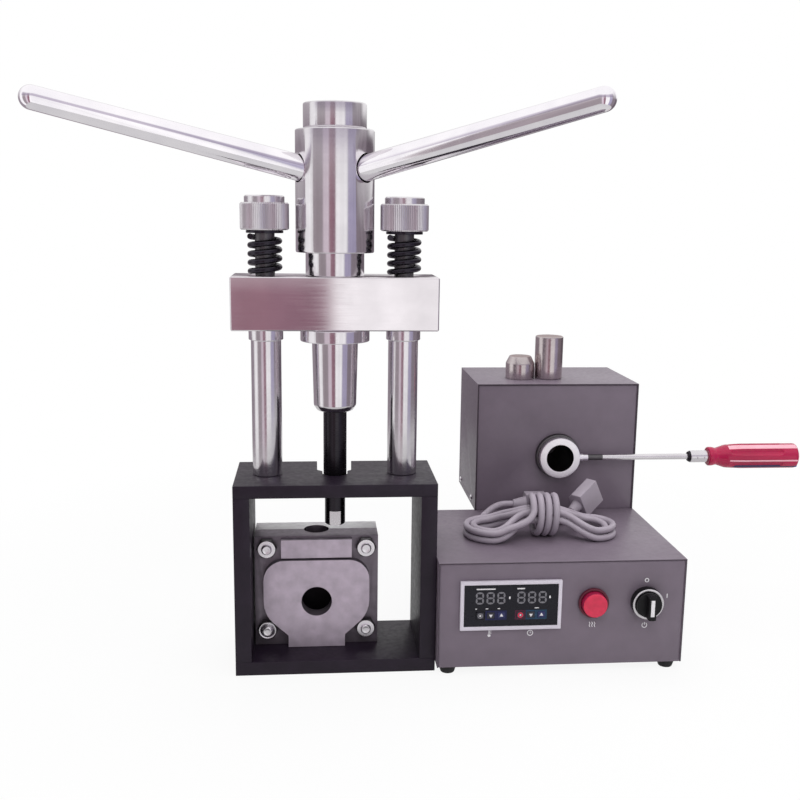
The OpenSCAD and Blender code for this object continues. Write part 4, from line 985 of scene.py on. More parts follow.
    def route(self):
        """The lead's centre line from the plug to the connector."""
        hank_steps = math.ceil((self.STOP - self.START) * self.STEPS)
        hank = [self.hank_point(self.START + (self.STOP - self.START) * i / hank_steps)
                for i in range(hank_steps + 1)]
        whole = 2 * math.pi * self.WRAP_TURNS + math.pi / 2
        wrap_steps = self.WRAP_TURNS * self.STEPS + self.STEPS // 4
        wraps = [self.wrap_point(self.WRAP_START + (whole - self.WRAP_START) * i / wrap_steps)
                 for i in range(wrap_steps + 1)]
        wrap_way = Vector((0, math.sin(self.WRAP_START), math.cos(self.WRAP_START)))
        level = math.cos(self.CONNECTOR_TILT)
        way = Vector((level * math.cos(self.CONNECTOR_TURN), level * math.sin(self.CONNECTOR_TURN),
                      math.sin(self.CONNECTOR_TILT)))
        plug_end = self.PLUG_EXIT - Vector((sizes().cord_d, 0, 0))
        tail = self.CONNECTOR_EXIT - sizes().cord_d * way
        return [self.PLUG_EXIT, plug_end,
                *self.blend(plug_end, Vector((-self.PLUG_PULL, 0, 0)), hank[0],
                            self.PLUG_PULL * (hank[1] - hank[0]).normalized()),
                *hank,
                *self.blend(hank[-1], self.HANK_PULL * (hank[-1] - hank[-2]).normalized(), wraps[0],
                            self.WRAP_PULL * wrap_way),
                *wraps,
                *self.blend(wraps[-1], Vector((0, self.TAIL_PULL, 0)), tail, self.CONNECTOR_PULL * way),
                tail, self.CONNECTOR_EXIT]


# Press


class INJECTOR_OT_frame(bpy.types.Operator):
    """Round and paint the four plates of the press frame"""
    bl_idname = "injector.frame"
    bl_label = "Frame"

    def execute(self, context):
        for part in ("base_plate", "left_post", "right_post", "top_plate"):
            node = "frame_" + part
            hand_over(dress_copy("press_" + part, node, sizes().plate_edge), "frame_paint", node)
        return {"FINISHED"}


class INJECTOR_OT_columns(bpy.types.Operator):
    """Turn the two columns with their spigots, shoulders and studs"""
    bl_idname = "injector.columns"
    bl_label = "Columns"

    def execute(self, context):
        s = sizes()
        lo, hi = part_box("left_column")
        plate_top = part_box("frame_top_plate")[1].z
        stop, stud_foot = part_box("crosshead")[0].z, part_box("crosshead")[1].z
        stud_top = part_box("left_knurled_nut")[0].z
        shoulder = stop - s.shoulder_h
        outline = [(0, lo.z), (s.stud_r, lo.z), (s.stud_r, plate_top), (s.column_r, plate_top),
                   (s.column_r, shoulder), (s.shoulder_r, shoulder), (s.shoulder_r, stop), (s.stud_r, stop),
                   (s.stud_r, stud_foot), (s.stud_r, stud_top), (s.stud_r, hi.z), (0, hi.z)]
        place = shift(middle("left_column").x)
        piece = turn_on_lathe("press_left_column", soften(outline, s.turned_edge), place)
        coat(piece, "column_steel", "core_metal")
        coat_where(piece, 1, lambda face: stud_foot < face.calc_center_median().z < stud_top)
        for node, column in pair(piece, "column"):
            hand_over(column, "bright_steel", node)
        return {"FINISHED"}


class INJECTOR_OT_crosshead(bpy.types.Operator):
    """Round the ground edges of the crosshead"""
    bl_idname = "injector.crosshead"
    bl_label = "Crosshead"

    def execute(self, context):
        piece = dress_copy("press_crosshead", "crosshead", sizes().plate_edge, 2)
        hand_over(piece, "ground_steel", "crosshead")
        return {"FINISHED"}


class INJECTOR_OT_springs(bpy.types.Operator):
    """Coil the two springs and turn their seats"""
    bl_idname = "injector.springs"
    bl_label = "Springs"

    WIRE_SIDES, CURL_STEPS = 18, 48
    SEAT_EDGE = 0.5 * MM
    SQUASHED = 0.84

    def execute(self, context):
        spring, seat = self.coil(), self.turn_seat()
        springs, seats = pair(spring, "spring"), pair(seat, "spring_seat")
        for (node, coiled), (seat_node, turned) in zip(springs, seats):
            hand_over(coiled, "spring_steel", node)
            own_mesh(coiled)
            hand_over(turned, "spring_steel", seat_node)
        return {"FINISHED"}

    def coil(self):
        """A ring of wire wound up from the left, with its ends closed."""
        s = sizes()
        lo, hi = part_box("left_spring")
        wire_r = s.spring_wire / 2
        steps = round(self.CURL_STEPS * s.spring_curls)
        deselect_all()
        bpy.ops.mesh.primitive_circle_add(vertices=self.WIRE_SIDES, radius=wire_r, rotation=(math.pi / 2, 0, 0),
                                          location=(wire_r - radius_of("left_spring"), 0, lo.z + wire_r))
        piece = name_it("press_left_spring")
        bpy.ops.object.transform_apply(location=True, rotation=True, scale=True)
        apply_modifier(piece, "SCREW", axis="Z", angle=2 * math.pi * s.spring_curls, steps=steps,
                       screw_offset=hi.z - lo.z - s.spring_wire, render_steps=steps, iterations=1)
        edit(piece)
        bpy.ops.mesh.select_mode(type="EDGE")
        bpy.ops.mesh.select_all(action="DESELECT")
        bpy.ops.mesh.select_non_manifold()
        bpy.ops.mesh.edge_face_add()
        done()
        close_up(piece)
        put(piece, shift(middle("left_spring").x, middle("left_spring").y))
        return smooth(piece, 50)

    def turn_seat(self):
        node = "left_spring_seat"
        lo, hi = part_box(node)
        outer, inner = radius_of(node), sizes().stud_r + RUNNING_GAP
        outline = [(inner, lo.z), (outer, lo.z), (outer, hi.z), (inner, hi.z), (inner, lo.z)]
        return turn_on_lathe("press_" + node, soften(outline, self.SEAT_EDGE), shift(middle(node).x))


class INJECTOR_OT_nuts(bpy.types.Operator):
    """Turn the two nuts, knurl their rims and chamfer their bosses"""
    bl_idname = "injector.nuts"
    bl_label = "Knurled nuts"

    CHAMFER = 1.2 * MM

    def execute(self, context):
        for node, nut in pair(self.turn_nut("left_knurled_nut"), "knurled_nut"):
            hand_over(nut, "knurled_steel", node)
        return {"FINISHED"}

    def turn_nut(self, node):
        s = sizes()
        lo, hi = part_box(node)
        rim, bore = radius_of(node), s.stud_r + RUNNING_GAP
        shoulder, chamfer = hi.z - s.nut_boss_h, self.CHAMFER
        band_foot, band_top = lo.z + chamfer, shoulder - chamfer
        outline = [(bore, lo.z), (rim - chamfer, lo.z), (rim, band_foot), (rim, band_top),
                   (rim - chamfer, shoulder), (s.nut_boss_r, shoulder), (s.nut_boss_r, hi.z - chamfer),
                   (s.nut_boss_r - chamfer, hi.z), (bore + chamfer, hi.z), (bore, hi.z - chamfer), (bore, lo.z)]
        piece = turn_on_lathe("press_" + node, outline, steps=2 * s.knurl_teeth)
        self.knurl(piece, rim)
        put(piece, shift(middle(node).x))
        coat(smooth(piece, 20), "knurled_steel", "screw_steel")
        return coat_where(piece, 1, lambda face: not band_foot < face.calc_center_median().z < band_top)

    def knurl(self, piece, rim):
        """Press in every second upright of the rim, to leave straight teeth."""
        s = sizes()
        tooth = math.pi / s.knurl_teeth

        def pressed(vert):
            on_rim = vert.co.xy.length > rim - 0.01 * MM
            return on_rim and round(math.atan2(vert.co.y, vert.co.x) / tooth) % 2 == 0

        edit(piece)
        select_where("verts", pressed)
        drawn_in = (rim - s.knurl_depth) / rim
        bpy.ops.transform.resize(value=(drawn_in, drawn_in, 1), center_override=(0, 0, 0))
        done()


class INJECTOR_OT_screw(bpy.types.Operator):
    """Turn the screw nut, lock ring, guide, spindle and ram on the press axis"""
    bl_idname = "injector.screw"
    bl_label = "Screw and ram"

    FINE_EDGE, GUIDE_EDGE, RAM_CHAMFER = 0.4 * MM, 1.5 * MM, 1 * MM
    PLAIN_TURNS, PLAIN_HEAD, LEAD_IN = 2, 40 * MM, 2 * MM
    THREAD = ((0, 0), (0, 0.18), (1, 0.38), (1, 0.68), (0, 0.88), (0, 1))
    THREAD_STEPS = 48

    def execute(self, context):
        s = sizes()
        self.turn_tube("screw_nut", s.spindle_r + RUNNING_GAP, s.shank_r)
        self.turn_tube("lock_ring", s.shank_r + SEATED_GAP)
        self.turn_guide()
        self.cut_spindle()
        self.turn_ram()
        bearing = dress_copy("press_thrust_bearing", "thrust_bearing", self.FINE_EDGE)
        hand_over(bearing, "knurled_steel", "thrust_bearing")
        return {"FINISHED"}

    def turn_tube(self, node, bore, foot_r=None):
        """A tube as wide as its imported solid, with a narrower foot in the crosshead if it has one."""
        lo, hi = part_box(node)
        outer, step_z = radius_of(node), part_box("crosshead")[1].z
        foot = [(foot_r, lo.z), (foot_r, step_z), (outer, step_z)] if foot_r else [(outer, lo.z)]
        outline = [(bore, lo.z), *foot, (outer, hi.z), (bore, hi.z), (bore, lo.z)]
        piece = turn_on_lathe("press_" + node, soften(outline, sizes().turned_edge))
        hand_over(piece, "bright_steel", node)

    def turn_guide(self):
        s = sizes()
        lo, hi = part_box("ram_guide")
        outer, bore = radius_of("ram_guide"), s.ram_r + RUNNING_GAP
        outline = [(bore, lo.z), (s.guide_end_r, lo.z), (s.guide_r, lo.z + s.guide_chamfer), (outer, hi.z),
                   (bore, hi.z), (bore, lo.z)]
        piece = turn_on_lathe("press_ram_guide", soften(outline, self.GUIDE_EDGE, 6))
        hand_over(piece, "bright_steel", "ram_guide")

    def cut_spindle(self):
        """One thread profile swept up the spindle, with plain ends."""
        s = sizes()
        lo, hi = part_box("screw_spindle")
        r, root, pitch = s.spindle_r, s.spindle_r - s.thread_depth, s.thread_pitch
        core_r = root - SEATED_GAP
        start, stop = lo.z + self.PLAIN_TURNS * pitch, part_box("hub")[1].z - self.PLAIN_HEAD
        turns = math.floor((stop - start) / pitch)
        profile = [(r if out else root, start + share * pitch) for out, share in self.THREAD]
        thread = draw_outline("press_screw_thread", profile)
        apply_modifier(thread, "SCREW", axis="Z", angle=2 * math.pi, screw_offset=pitch, iterations=turns,
                       steps=self.THREAD_STEPS, render_steps=self.THREAD_STEPS, use_merge_vertices=True)
        outline = [(0, lo.z), (root, lo.z), (r, lo.z + self.LEAD_IN), (r, start), (core_r, start),
                   (core_r, stop), (r, stop), (r, hi.z), (0, hi.z)]
        core = turn_on_lathe("press_screw_core", outline)
        piece = smooth(join("press_screw_spindle", [core, thread]), 30)
        hand_over(piece, "bright_steel", "screw_spindle")

    def turn_ram(self):
        s = sizes()
        lo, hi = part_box("ram_rod")
        flat_top = lo.z + s.ram_flat
        outline = [(0, lo.z), (s.ram_tip_r - self.RAM_CHAMFER, lo.z), (s.ram_tip_r, lo.z + self.RAM_CHAMFER),
                   (s.ram_tip_r, s.ram_step_z), (s.ram_r, s.ram_step_z), (s.ram_r, hi.z), (0, hi.z)]
        piece = turn_on_lathe("press_ram", soften(outline, self.FINE_EDGE))
        flat = block("ram_flat_cutter", (-s.ram_r, -2 * s.ram_r, lo.z - s.ram_flat),
                     (s.ram_r, -s.ram_flat_y, flat_top))
        coat(smooth(cut_with(piece, flat)), "black_oxide", "screw_steel")

        def on_flat(face):
            return face.normal.y < -0.99 and face.calc_center_median().z < flat_top

        coat_where(piece, 1, on_flat)
        hand_over(piece, "black_oxide", "ram_rod")


class INJECTOR_OT_hub(bpy.types.Operator):
    """Turn the hub, its cap and the three handle bars in their sockets"""
    bl_idname = "injector.hub"
    bl_label = "Hub and handles"

    HANDLES = ("left_handle", "right_handle", "rear_handle")
    HUB_EDGE, SOCKET_EDGE = 1.5 * MM, 0.5 * MM
    CAP_GROOVE, CAP_CROWN = 1 * MM, 6 * MM
    SOCKET_PLAY = 0.3 * MM
    BALL_STEPS = 15

    def execute(self, context):
        self.turn_hub()
        self.turn_cap()
        places = [self.along_handle(number) for number in range(len(self.HANDLES))]
        for node, handle in zip(self.HANDLES, copies(self.turn_handle(), places)):
            handle.name = handle.data.name = "press_" + node
            hand_over(coat(handle, "handle_steel"), "bright_steel", node)
        return {"FINISHED"}

    def along_handle(self, number):
        s = sizes()
        azimuth = math.pi + s.handle_turn + number * 2 * math.pi / len(self.HANDLES)
        return (shift(0, 0, s.handle_z) @ Matrix.Rotation(azimuth, 4, "Z")
                @ Matrix.Rotation(math.pi / 2 - s.handle_rise, 4, "Y"))

    def turn_hub(self):
        s = sizes()
        lo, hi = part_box("hub")
        r, screw = radius_of("hub"), s.spindle_r + SEATED_GAP
        outline = [(s.neck_r, lo.z), (r, lo.z), (r, hi.z), (screw, hi.z), (screw, s.crown_z),
                   (s.neck_r, s.crown_z), (s.neck_r, lo.z)]
        piece = turn_on_lathe("press_hub", soften(outline, self.HUB_EDGE), steps=128)
        for number in range(len(self.HANDLES)):
            place = self.along_handle(number) @ shift(z=s.socket_floor)
            cut_with(piece, rod("socket_cutter", s.socket_r, 2 * r, place, 96))
        bevel(piece, self.SOCKET_EDGE, 2, 40)
        hand_over(smooth(piece, 30), "bright_steel", "hub")

    def turn_cap(self):
        lo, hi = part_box("hub_cap")
        r, groove = radius_of("hub_cap"), self.CAP_GROOVE
        outline = [(0, lo.z), (r - groove, lo.z), (r - groove, lo.z + groove), (r, lo.z + 2 * groove),
                   (r, hi.z), (r - self.CAP_CROWN, hi.z), (0, hi.z)]
        piece = turn_on_lathe("press_hub_cap", soften(outline, self.HUB_EDGE), steps=128)
        hand_over(piece, "bright_steel", "hub_cap")

    def turn_handle(self):
        """A tapered bar with a ball end."""
        s = sizes()
        tip, root_z = s.handle_tip_r, s.socket_floor + self.SOCKET_PLAY
        quarter = [math.pi / 2 * i / self.BALL_STEPS for i in range(1, self.BALL_STEPS)]
        ball = [(tip * math.cos(a), s.handle_len - tip + tip * math.sin(a)) for a in quarter]
        outline = [(0, root_z), (s.handle_root_r, root_z), (tip, s.handle_len - tip), *ball, (0, s.handle_len)]
        return turn_on_lathe("press_handle", outline, steps=64)


class INJECTOR_OT_flask(bpy.types.Operator):
    """Round the two cast flask halves and turn their bolts and nuts"""
    bl_idname = "injector.flask"
    bl_label = "Flask"

    SKIN_DEPTH, HOLLOW_EDGE = 0.3 * MM, 3 * MM
    NUT_CHAMFER, NUT_FACE, NUT_EDGE, DRILL_LEN = 1.2 * MM, 0.3 * MM, 0.25 * MM, 1
    BOLT_TAPER, BOLT_TIP, BOLT_DISH = 1.5 * MM, 1.2 * MM, 0.4 * MM

    def execute(self, context):
        for half in ("flask_front_half", "flask_rear_half"):
            casting = dress_copy(half + "_casting", half, sizes().cast_edge)
            hand_over(self.machine(casting, half), "flask_metal", half)
        self.make_nuts()
        self.make_bolts()
        return {"FINISHED"}

    def machine(self, piece, half):
        """Leave the rear half's top and the boss machined, and paint shade into the hollows."""
        lo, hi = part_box(half)
        skin, edge = self.SKIN_DEPTH, self.HOLLOW_EDGE
        rear = half == "flask_rear_half"
        coat(piece, "flask_metal", "flask_machined" if rear else "flask_boss", "flask_hollow")

        def machined(face):
            centre = face.calc_center_median()
            if rear:
                return face.normal.z > 0.9 and centre.z > hi.z - skin
            return face.normal.y < -0.9 and centre.y < self.front() - skin

        # Painted shade: the cavity's walls and floor take the dark copy of the cast metal.
        def hollow(face):
            centre = face.calc_center_median()
            return (lo.x + edge < centre.x < hi.x - edge and lo.z + edge < centre.z < hi.z - edge
                    and (abs(face.normal.y) < 0.5 and centre.y > self.front() + edge
                         or abs(centre.y - self.cavity_floor(half)) < skin))

        coat_where(piece, 1, machined)
        return coat_where(piece, 2, hollow)

    @staticmethod
    def front():
        """Front of the flask's plate, behind the boss."""
        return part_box("flask_nuts")[1].y

    def cavity_floor(self, half):
        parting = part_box("flask_rear_half")[0].y
        depth = sizes().cavity_t
        return parting - depth if half == "flask_front_half" else parting + depth

    def bolt_places(self, facing, depth):
        """Places of the four bolts on a plane at a depth, all facing one way."""
        lo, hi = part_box("flask_nuts")
        flat = sizes().bolt_af / 2
        return [facing(x, depth, z) for x in (lo.x + self.corner(), hi.x - self.corner())
                for z in (lo.z + flat, hi.z - flat)]

    @staticmethod
    def corner():
        """Radius of a hexagon's corners."""
        return sizes().bolt_af / 2 / math.cos(math.pi / 6)

    def hexagon(self, name, depth):
        """A hexagon whose outer corners are turned off."""
        radius = self.corner()
        piece = rod(name, radius, depth, Matrix.Rotation(math.pi / 6, 4, "Z"), 6)
        turn = turn_on_lathe("chamfer", [(0, 0), (radius, 0), (radius, depth - self.NUT_CHAMFER),
                                         (sizes().bolt_af / 2 - self.NUT_FACE, depth), (0, depth)])
        return bevel(cut_with(piece, turn, "INTERSECT"), self.NUT_EDGE, 2)

    def make_nuts(self):
        lo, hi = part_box("flask_nuts")
        places = self.bolt_places(facing_front, hi.y)
        pieces = copies(self.hexagon("nut", hi.y - lo.y), places)
        for nut, place in zip(pieces, places):
            start = place @ shift(z=-self.DRILL_LEN / 2)
            cut_with(nut, rod("nut_bore", sizes().bolt_r + SEATED_GAP, self.DRILL_LEN, start))
        nuts = coat(smooth(join("flask_nut_set", pieces)), "zinc_bolts", "core_metal")
        # Painted shade: the nuts' sides and chamfers take the dark finish, while their fronts stay bright zinc.
        coat_where(nuts, 1, lambda face: abs(face.normal.y) < 0.97)
        hand_over(nuts, "zinc_bolts", "flask_nuts")

    def make_bolts(self):
        lo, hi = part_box("flask_bolts")
        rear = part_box("flask_rear_half")[1].y
        r, run = sizes().bolt_r, rear - lo.y
        dish = run - self.BOLT_DISH
        outline = [(0, 0), (r, 0), (r, run - self.BOLT_TAPER), (r - self.BOLT_TIP, run), (0.4 * r, dish),
                   (0, dish)]
        shank = turn_on_lathe("bolt", soften(outline, self.BOLT_DISH), steps=48)
        head = self.hexagon("bolt_head", hi.y - rear)
        pieces = [*copies(shank, self.bolt_places(facing_front, rear)),
                  *copies(head, self.bolt_places(facing_back, rear))]
        hand_over(smooth(join("flask_bolt_set", pieces)), "zinc_bolts", "flask_bolts")


# Heater


class INJECTOR_OT_casings(bpy.types.Operator):
    """Round and paint the sheets of the control box and the furnace"""
    bl_idname = "injector.casings"
    bl_label = "Casings"

    SHEETS = ("control_base", "control_cover", "control_front_panel", "furnace_stand", "furnace_base",
              "furnace_cover", "furnace_front_panel")

    RIM_DEPTH, FIBRE_EDGE = 0.3 * MM, 2 * MM
    FOOT_R, SOLE_R, RECESS_R, RECESS, FOOT_EDGE = 9 * MM, 6.5 * MM, 3 * MM, 1.5 * MM, 0.8 * MM
    HEAD_R, HEAD_T, CROWN_R, SHANK_R, SHANK = 3.5 * MM, 2.2 * MM, 2.5 * MM, 1.75 * MM, 3 * MM
    SLOT_LEN, SLOT_W, SLOT_T, HEAD_EDGE = 4 * MM, 0.8 * MM, 0.9 * MM, 0.8 * MM

    def execute(self, context):
        for node in self.SHEETS:
            sheet = dress_copy(node + "_sheet", node, sizes().sheet_edge)
            coat(sheet, "casing_paint", "casing_edge")
            if "cover" in node:
                self.shade_rim(sheet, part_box(node)[0].y + self.RIM_DEPTH)
            hand_over(sheet, "casing_paint", node)
        fibre = dress_copy("fibre_block", "insulation_block", self.FIBRE_EDGE)
        hand_over(fibre, "insulation", "insulation_block")
        self.turn_feet()
        self.turn_screws()
        return {"FINISHED"}

    @staticmethod
    def shade_rim(sheet, depth):
        """Paint shade on a cover's front rim, down to a depth."""
        coat_where(sheet, 1, lambda face: face.normal.y < -0.8 and face.calc_center_median().y < depth)

    def turn_feet(self):
        lo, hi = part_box("rubber_feet")
        r, recess_r = self.FOOT_R, self.RECESS_R
        outline = [(0, self.RECESS), (recess_r, self.RECESS), (recess_r, 0), (self.SOLE_R, 0), (r, hi.z),
                   (0, hi.z)]
        foot = turn_on_lathe("foot", soften(outline, self.FOOT_EDGE), steps=48)
        places = [shift(x, y) for x in (lo.x + r, hi.x - r) for y in (lo.y + r, hi.y - r)]
        hand_over(join("rubber_foot_set", copies(foot, places)), "black_rubber", "rubber_feet")

    def turn_screws(self):
        """Pan heads with a crossed slot."""
        lo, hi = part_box("casing_screws")
        r, head = self.HEAD_R, self.HEAD_T
        outline = [(0, -self.SHANK), (self.SHANK_R, -self.SHANK), (self.SHANK_R, 0), (r, 0),
                   (self.CROWN_R, head), (0, head)]
        screw = turn_on_lathe("screw", soften(outline, self.HEAD_EDGE), steps=32)
        corner = Vector((self.SLOT_LEN / 2, self.SLOT_W / 2, head + MM))
        for turn in (0, math.pi / 2):
            slot = block("slot", (-corner.x, -corner.y, head - self.SLOT_T), corner)
            cut_with(screw, put(slot, Matrix.Rotation(turn, 4, "Z")))
        places = [shift(x, y, (lo.z + hi.z) / 2) @ Matrix.Rotation(way * math.pi / 2, 4, "Y")
                  for y in (lo.y + r, hi.y - r) for x, way in ((lo.x + head, -1), (hi.x - head, 1))]
        hand_over(smooth(join("casing_screw_set", copies(screw, places))), "screw_steel", "casing_screws")


class INJECTOR_OT_meter(bpy.types.Operator):
    """Build the panel meter with its rim, face, unlit digits and keys"""
    bl_idname = "injector.meter"
    bl_label = "Panel meter"

    KEYS = ("temp_set_key", "temp_down_key", "temp_up_key", "time_set_key", "time_down_key", "time_up_key")
    STRIPS = ((-24, 16.3, 17.9, 1.2), (9, 16.3, 7.2, 1.2), (-1.5, 7.5, 1.4, 2.4), (36.7, 7.5, 1.4, 2.4),
              (-33, -3, 1.6, 0.8), (-22.8, -3, 2.4, 0.8), (-11.5, -3, 2.4, 0.8), (24.4, -3, 4, 0.8))
    PADS = (("pad_blue", "temp_down_key", "temp_up_key"), ("pad_red", "time_set_key", "time_set_key"),
            ("pad_teal", "time_down_key", "time_up_key"))
    SEGMENTS = ((0, 1, 0), (0, 0, 0), (0, -1, 0),
                (-0.5, 0.5, 1), (0.5, 0.5, 1), (-0.5, -0.5, 1), (0.5, -0.5, 1))
    FACE_DEPTH, RIM_STEP, CASE_EDGE, KEY_EDGE = 1.2 * MM, 0.3 * MM, 0.6 * MM, 0.5 * MM
    SEGMENT_GAP, TOUCH = 0.9 * MM, 0.01 * MM
    PAD_EDGE, KEY_PLAY = 1.6 * MM, 0.15 * MM
    RING, DOT_R, ARROW_R, ICON_SINK = (1.5 * MM, 2.6 * MM), 0.9 * MM, 2 * MM, 0.02 * MM

    def execute(self, context):
        self.make_case()
        self.make_digits()
        self.make_strips()
        for pad in self.PADS:
            self.make_pad(*pad)
        for node in self.KEYS:
            self.make_key(node)
        return {"FINISHED"}

    def make_case(self):
        lo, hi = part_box("panel_meter")
        mid, rim = (lo + hi) / 2, sizes().meter_rim
        face_w, face_h = (hi.x - lo.x) / 2 - rim, (hi.z - lo.z) / 2 - rim
        piece = dress_copy("meter_case", "panel_meter", self.CASE_EDGE)
        coat(piece, "meter_plastic", "meter_rim")

        def on_rim(face):
            centre = face.calc_center_median()
            outside = abs(centre.x - mid.x) > face_w or abs(centre.z - mid.z) > face_h
            return (centre.y < self.face_y() - self.RIM_STEP and face.normal.y < -0.3
                    or outside and centre.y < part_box("control_front_panel")[0].y)

        coat_where(piece, 1, on_rim)
        hand_over(piece, "meter_plastic", "panel_meter")

    def face_y(self):
        """Front of the dark face, behind the rim."""
        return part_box("panel_meter")[0].y + self.FACE_DEPTH

    def make_digits(self):
        """Three seven-segment digits on each side, left dark."""
        s = sizes()
        mid = middle("panel_meter")
        digits = [(mid.x + group * s.group_x + place * s.digit_pitch, mid.z + s.digit_rise)
                  for group in (-1, 1) for place in (-1, 0, 1)]
        bars = []
        for upright, room in enumerate((s.digit_w, s.digit_h / 2)):
            turn = Matrix.Rotation(upright * math.pi / 2, 4, "Z")
            places = [facing_front(x + across * s.digit_w, self.face_y(), z + up * s.digit_h / 2) @ turn
                      for x, z in digits for across, up, kind in self.SEGMENTS if kind == upright]
            bars += copies(self.segment(room), places)
        hand_over(coat(join("meter_digits", bars), "grey_marks"), "meter_plastic", body="base")

    def segment(self, room):
        """A hexagon whose two sides are drawn apart, as long as its room less a gap."""
        half = sizes().digit_stroke / 2
        reach = (room - self.SEGMENT_GAP) / 2 - half
        bar = rod("segment", half / math.cos(math.pi / 6), SKIN, sides=6)
        edit(bar)
        for way in (-1, 1):
            select_where("verts", lambda vert: way * vert.co.x > self.TOUCH)
            bpy.ops.transform.translate(value=(way * reach, 0, 0))
        return done()

    def make_key(self, node):
        piece = dress_copy("meter_" + node, node, self.KEY_EDGE)
        hand_over(piece, "key_plastic", node)
        if "up" in node:
            coat(piece, "key_blue")
        mid = middle(node)
        spot = facing_front(mid.x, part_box(node)[0].y + self.ICON_SINK, mid.z)
        if "set" in node:
            ring = printed_ring(node + "_ring", *self.RING, spot)
            coat(ring, "red_marks" if "time" in node else "grey_marks")
            hand_over(ring, "key_plastic", body=body_of(node))
            icon = rod(node + "_icon", self.DOT_R, SKIN, spot, 24)
        else:
            turn = math.pi if "down" in node else 0
            icon = rod(node + "_icon", self.ARROW_R, SKIN, spot @ Matrix.Rotation(turn, 4, "Z"), 3)
        bevel(icon, PRINT_EDGE, 1)
        hand_over(coat(icon, "white_marks"), "key_plastic", body=body_of(node))

    def make_strips(self):
        """Plain white strips over the digits and the keys, and a dot after each group."""
        mid = middle("panel_meter")
        pieces = []
        for across, up, width, height in self.STRIPS:
            spot = facing_front(mid.x + across * MM, self.face_y(), mid.z + up * MM)
            pieces.append(printed_bar("strip", width * MM, height * MM, spot))
        hand_over(coat(join("meter_strips", pieces), "white_marks"), "meter_plastic", body="base")

    def make_pad(self, finish, first, last):
        """A printed patch behind a group of keys, open where the keys stand."""
        lo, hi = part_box(first)[0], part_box(last)[1]
        edge, play = self.PAD_EDGE, self.KEY_PLAY
        pad = block("meter_" + finish, (lo.x - edge, self.face_y() - SKIN, lo.z - edge),
                    (hi.x + edge, self.face_y(), hi.z + edge))
        for node in dict.fromkeys((first, last)):
            key_lo, key_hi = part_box(node)
            hole = block("hole", (key_lo.x - play, self.face_y() - MM, key_lo.z - play),
                         (key_hi.x + play, self.face_y() + MM, key_hi.z + play))
            cut_with(pad, hole)
        hand_over(coat(pad, finish), "meter_plastic", body="base")


class INJECTOR_OT_lamp(bpy.types.Operator):
    """Turn the lamp's body and its red lens"""
    bl_idname = "injector.lamp"
    bl_label = "Lamp"

    HOLDER_EDGE, LENS_EDGE, DRAFT = 0.7 * MM, 0.9 * MM, 0.5 * MM

    def execute(self, context):
        body = dress_copy("lamp_holder", "lamp_body", self.HOLDER_EDGE)
        hand_over(body, "lamp_housing", "lamp_body")
        lo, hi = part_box("lamp_lens")
        mid, depth, r = (lo + hi) / 2, hi.y - lo.y, sizes().lens_r
        outline = [(0, 0), (r, 0), (r - self.DRAFT, depth), (0, depth)]
        place = facing_front(mid.x, hi.y, mid.z)
        lens = turn_on_lathe("lamp_lens_red", soften(outline, self.LENS_EDGE), place)
        coat(lens, "lamp_red", "lamp_side")
        # The lens's sides take the darker red as painted shade.
        coat_where(lens, 1, lambda face: face.normal.y > -0.4)
        hand_over(lens, "lamp_red", "lamp_lens")
        return {"FINISHED"}


class INJECTOR_OT_switch(bpy.types.Operator):
    """Round the rotary switch and its knob with the white pointer"""
    bl_idname = "injector.switch"
    bl_label = "Switch"

    CASE_EDGE, KNOB_EDGE, POINTER_EDGE = 0.7 * MM, 0.9 * MM, 0.15 * MM
    POINTER = (-0.62, 0.72)
    POINTER_W, POINTER_RISE, POINTER_DEPTH = 3.6 * MM, 0.1 * MM, 0.4 * MM

    def execute(self, context):
        case = dress_copy("switch_case", "switch_body", self.CASE_EDGE)
        coat(case, "switch_metal", "knob_plastic")
        coat_where(case, 1, lambda face: face.normal.y > -0.6)
        hand_over(case, "switch_metal", "switch_body")
        knob = dress_copy("switch_knob_grip", "switch_knob", self.KNOB_EDGE)
        hand_over(knob, "knob_plastic", "switch_knob")
        self.add_pointer()
        return {"FINISHED"}

    def add_pointer(self):
        """A white strip let into the knob's front."""
        front, mid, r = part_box("switch_knob")[0].y, middle("switch_knob"), sizes().knob_r
        pointer = block("switch_pointer",
                        (mid.x - self.POINTER_W / 2, front - self.POINTER_RISE, mid.z + self.POINTER[0] * r),
                        (mid.x + self.POINTER_W / 2, front + self.POINTER_DEPTH, mid.z + self.POINTER[1] * r))
        bevel(pointer, self.POINTER_EDGE, 2)
        hand_over(coat(pointer, "white_marks"), "knob_plastic", body="switch_knob")


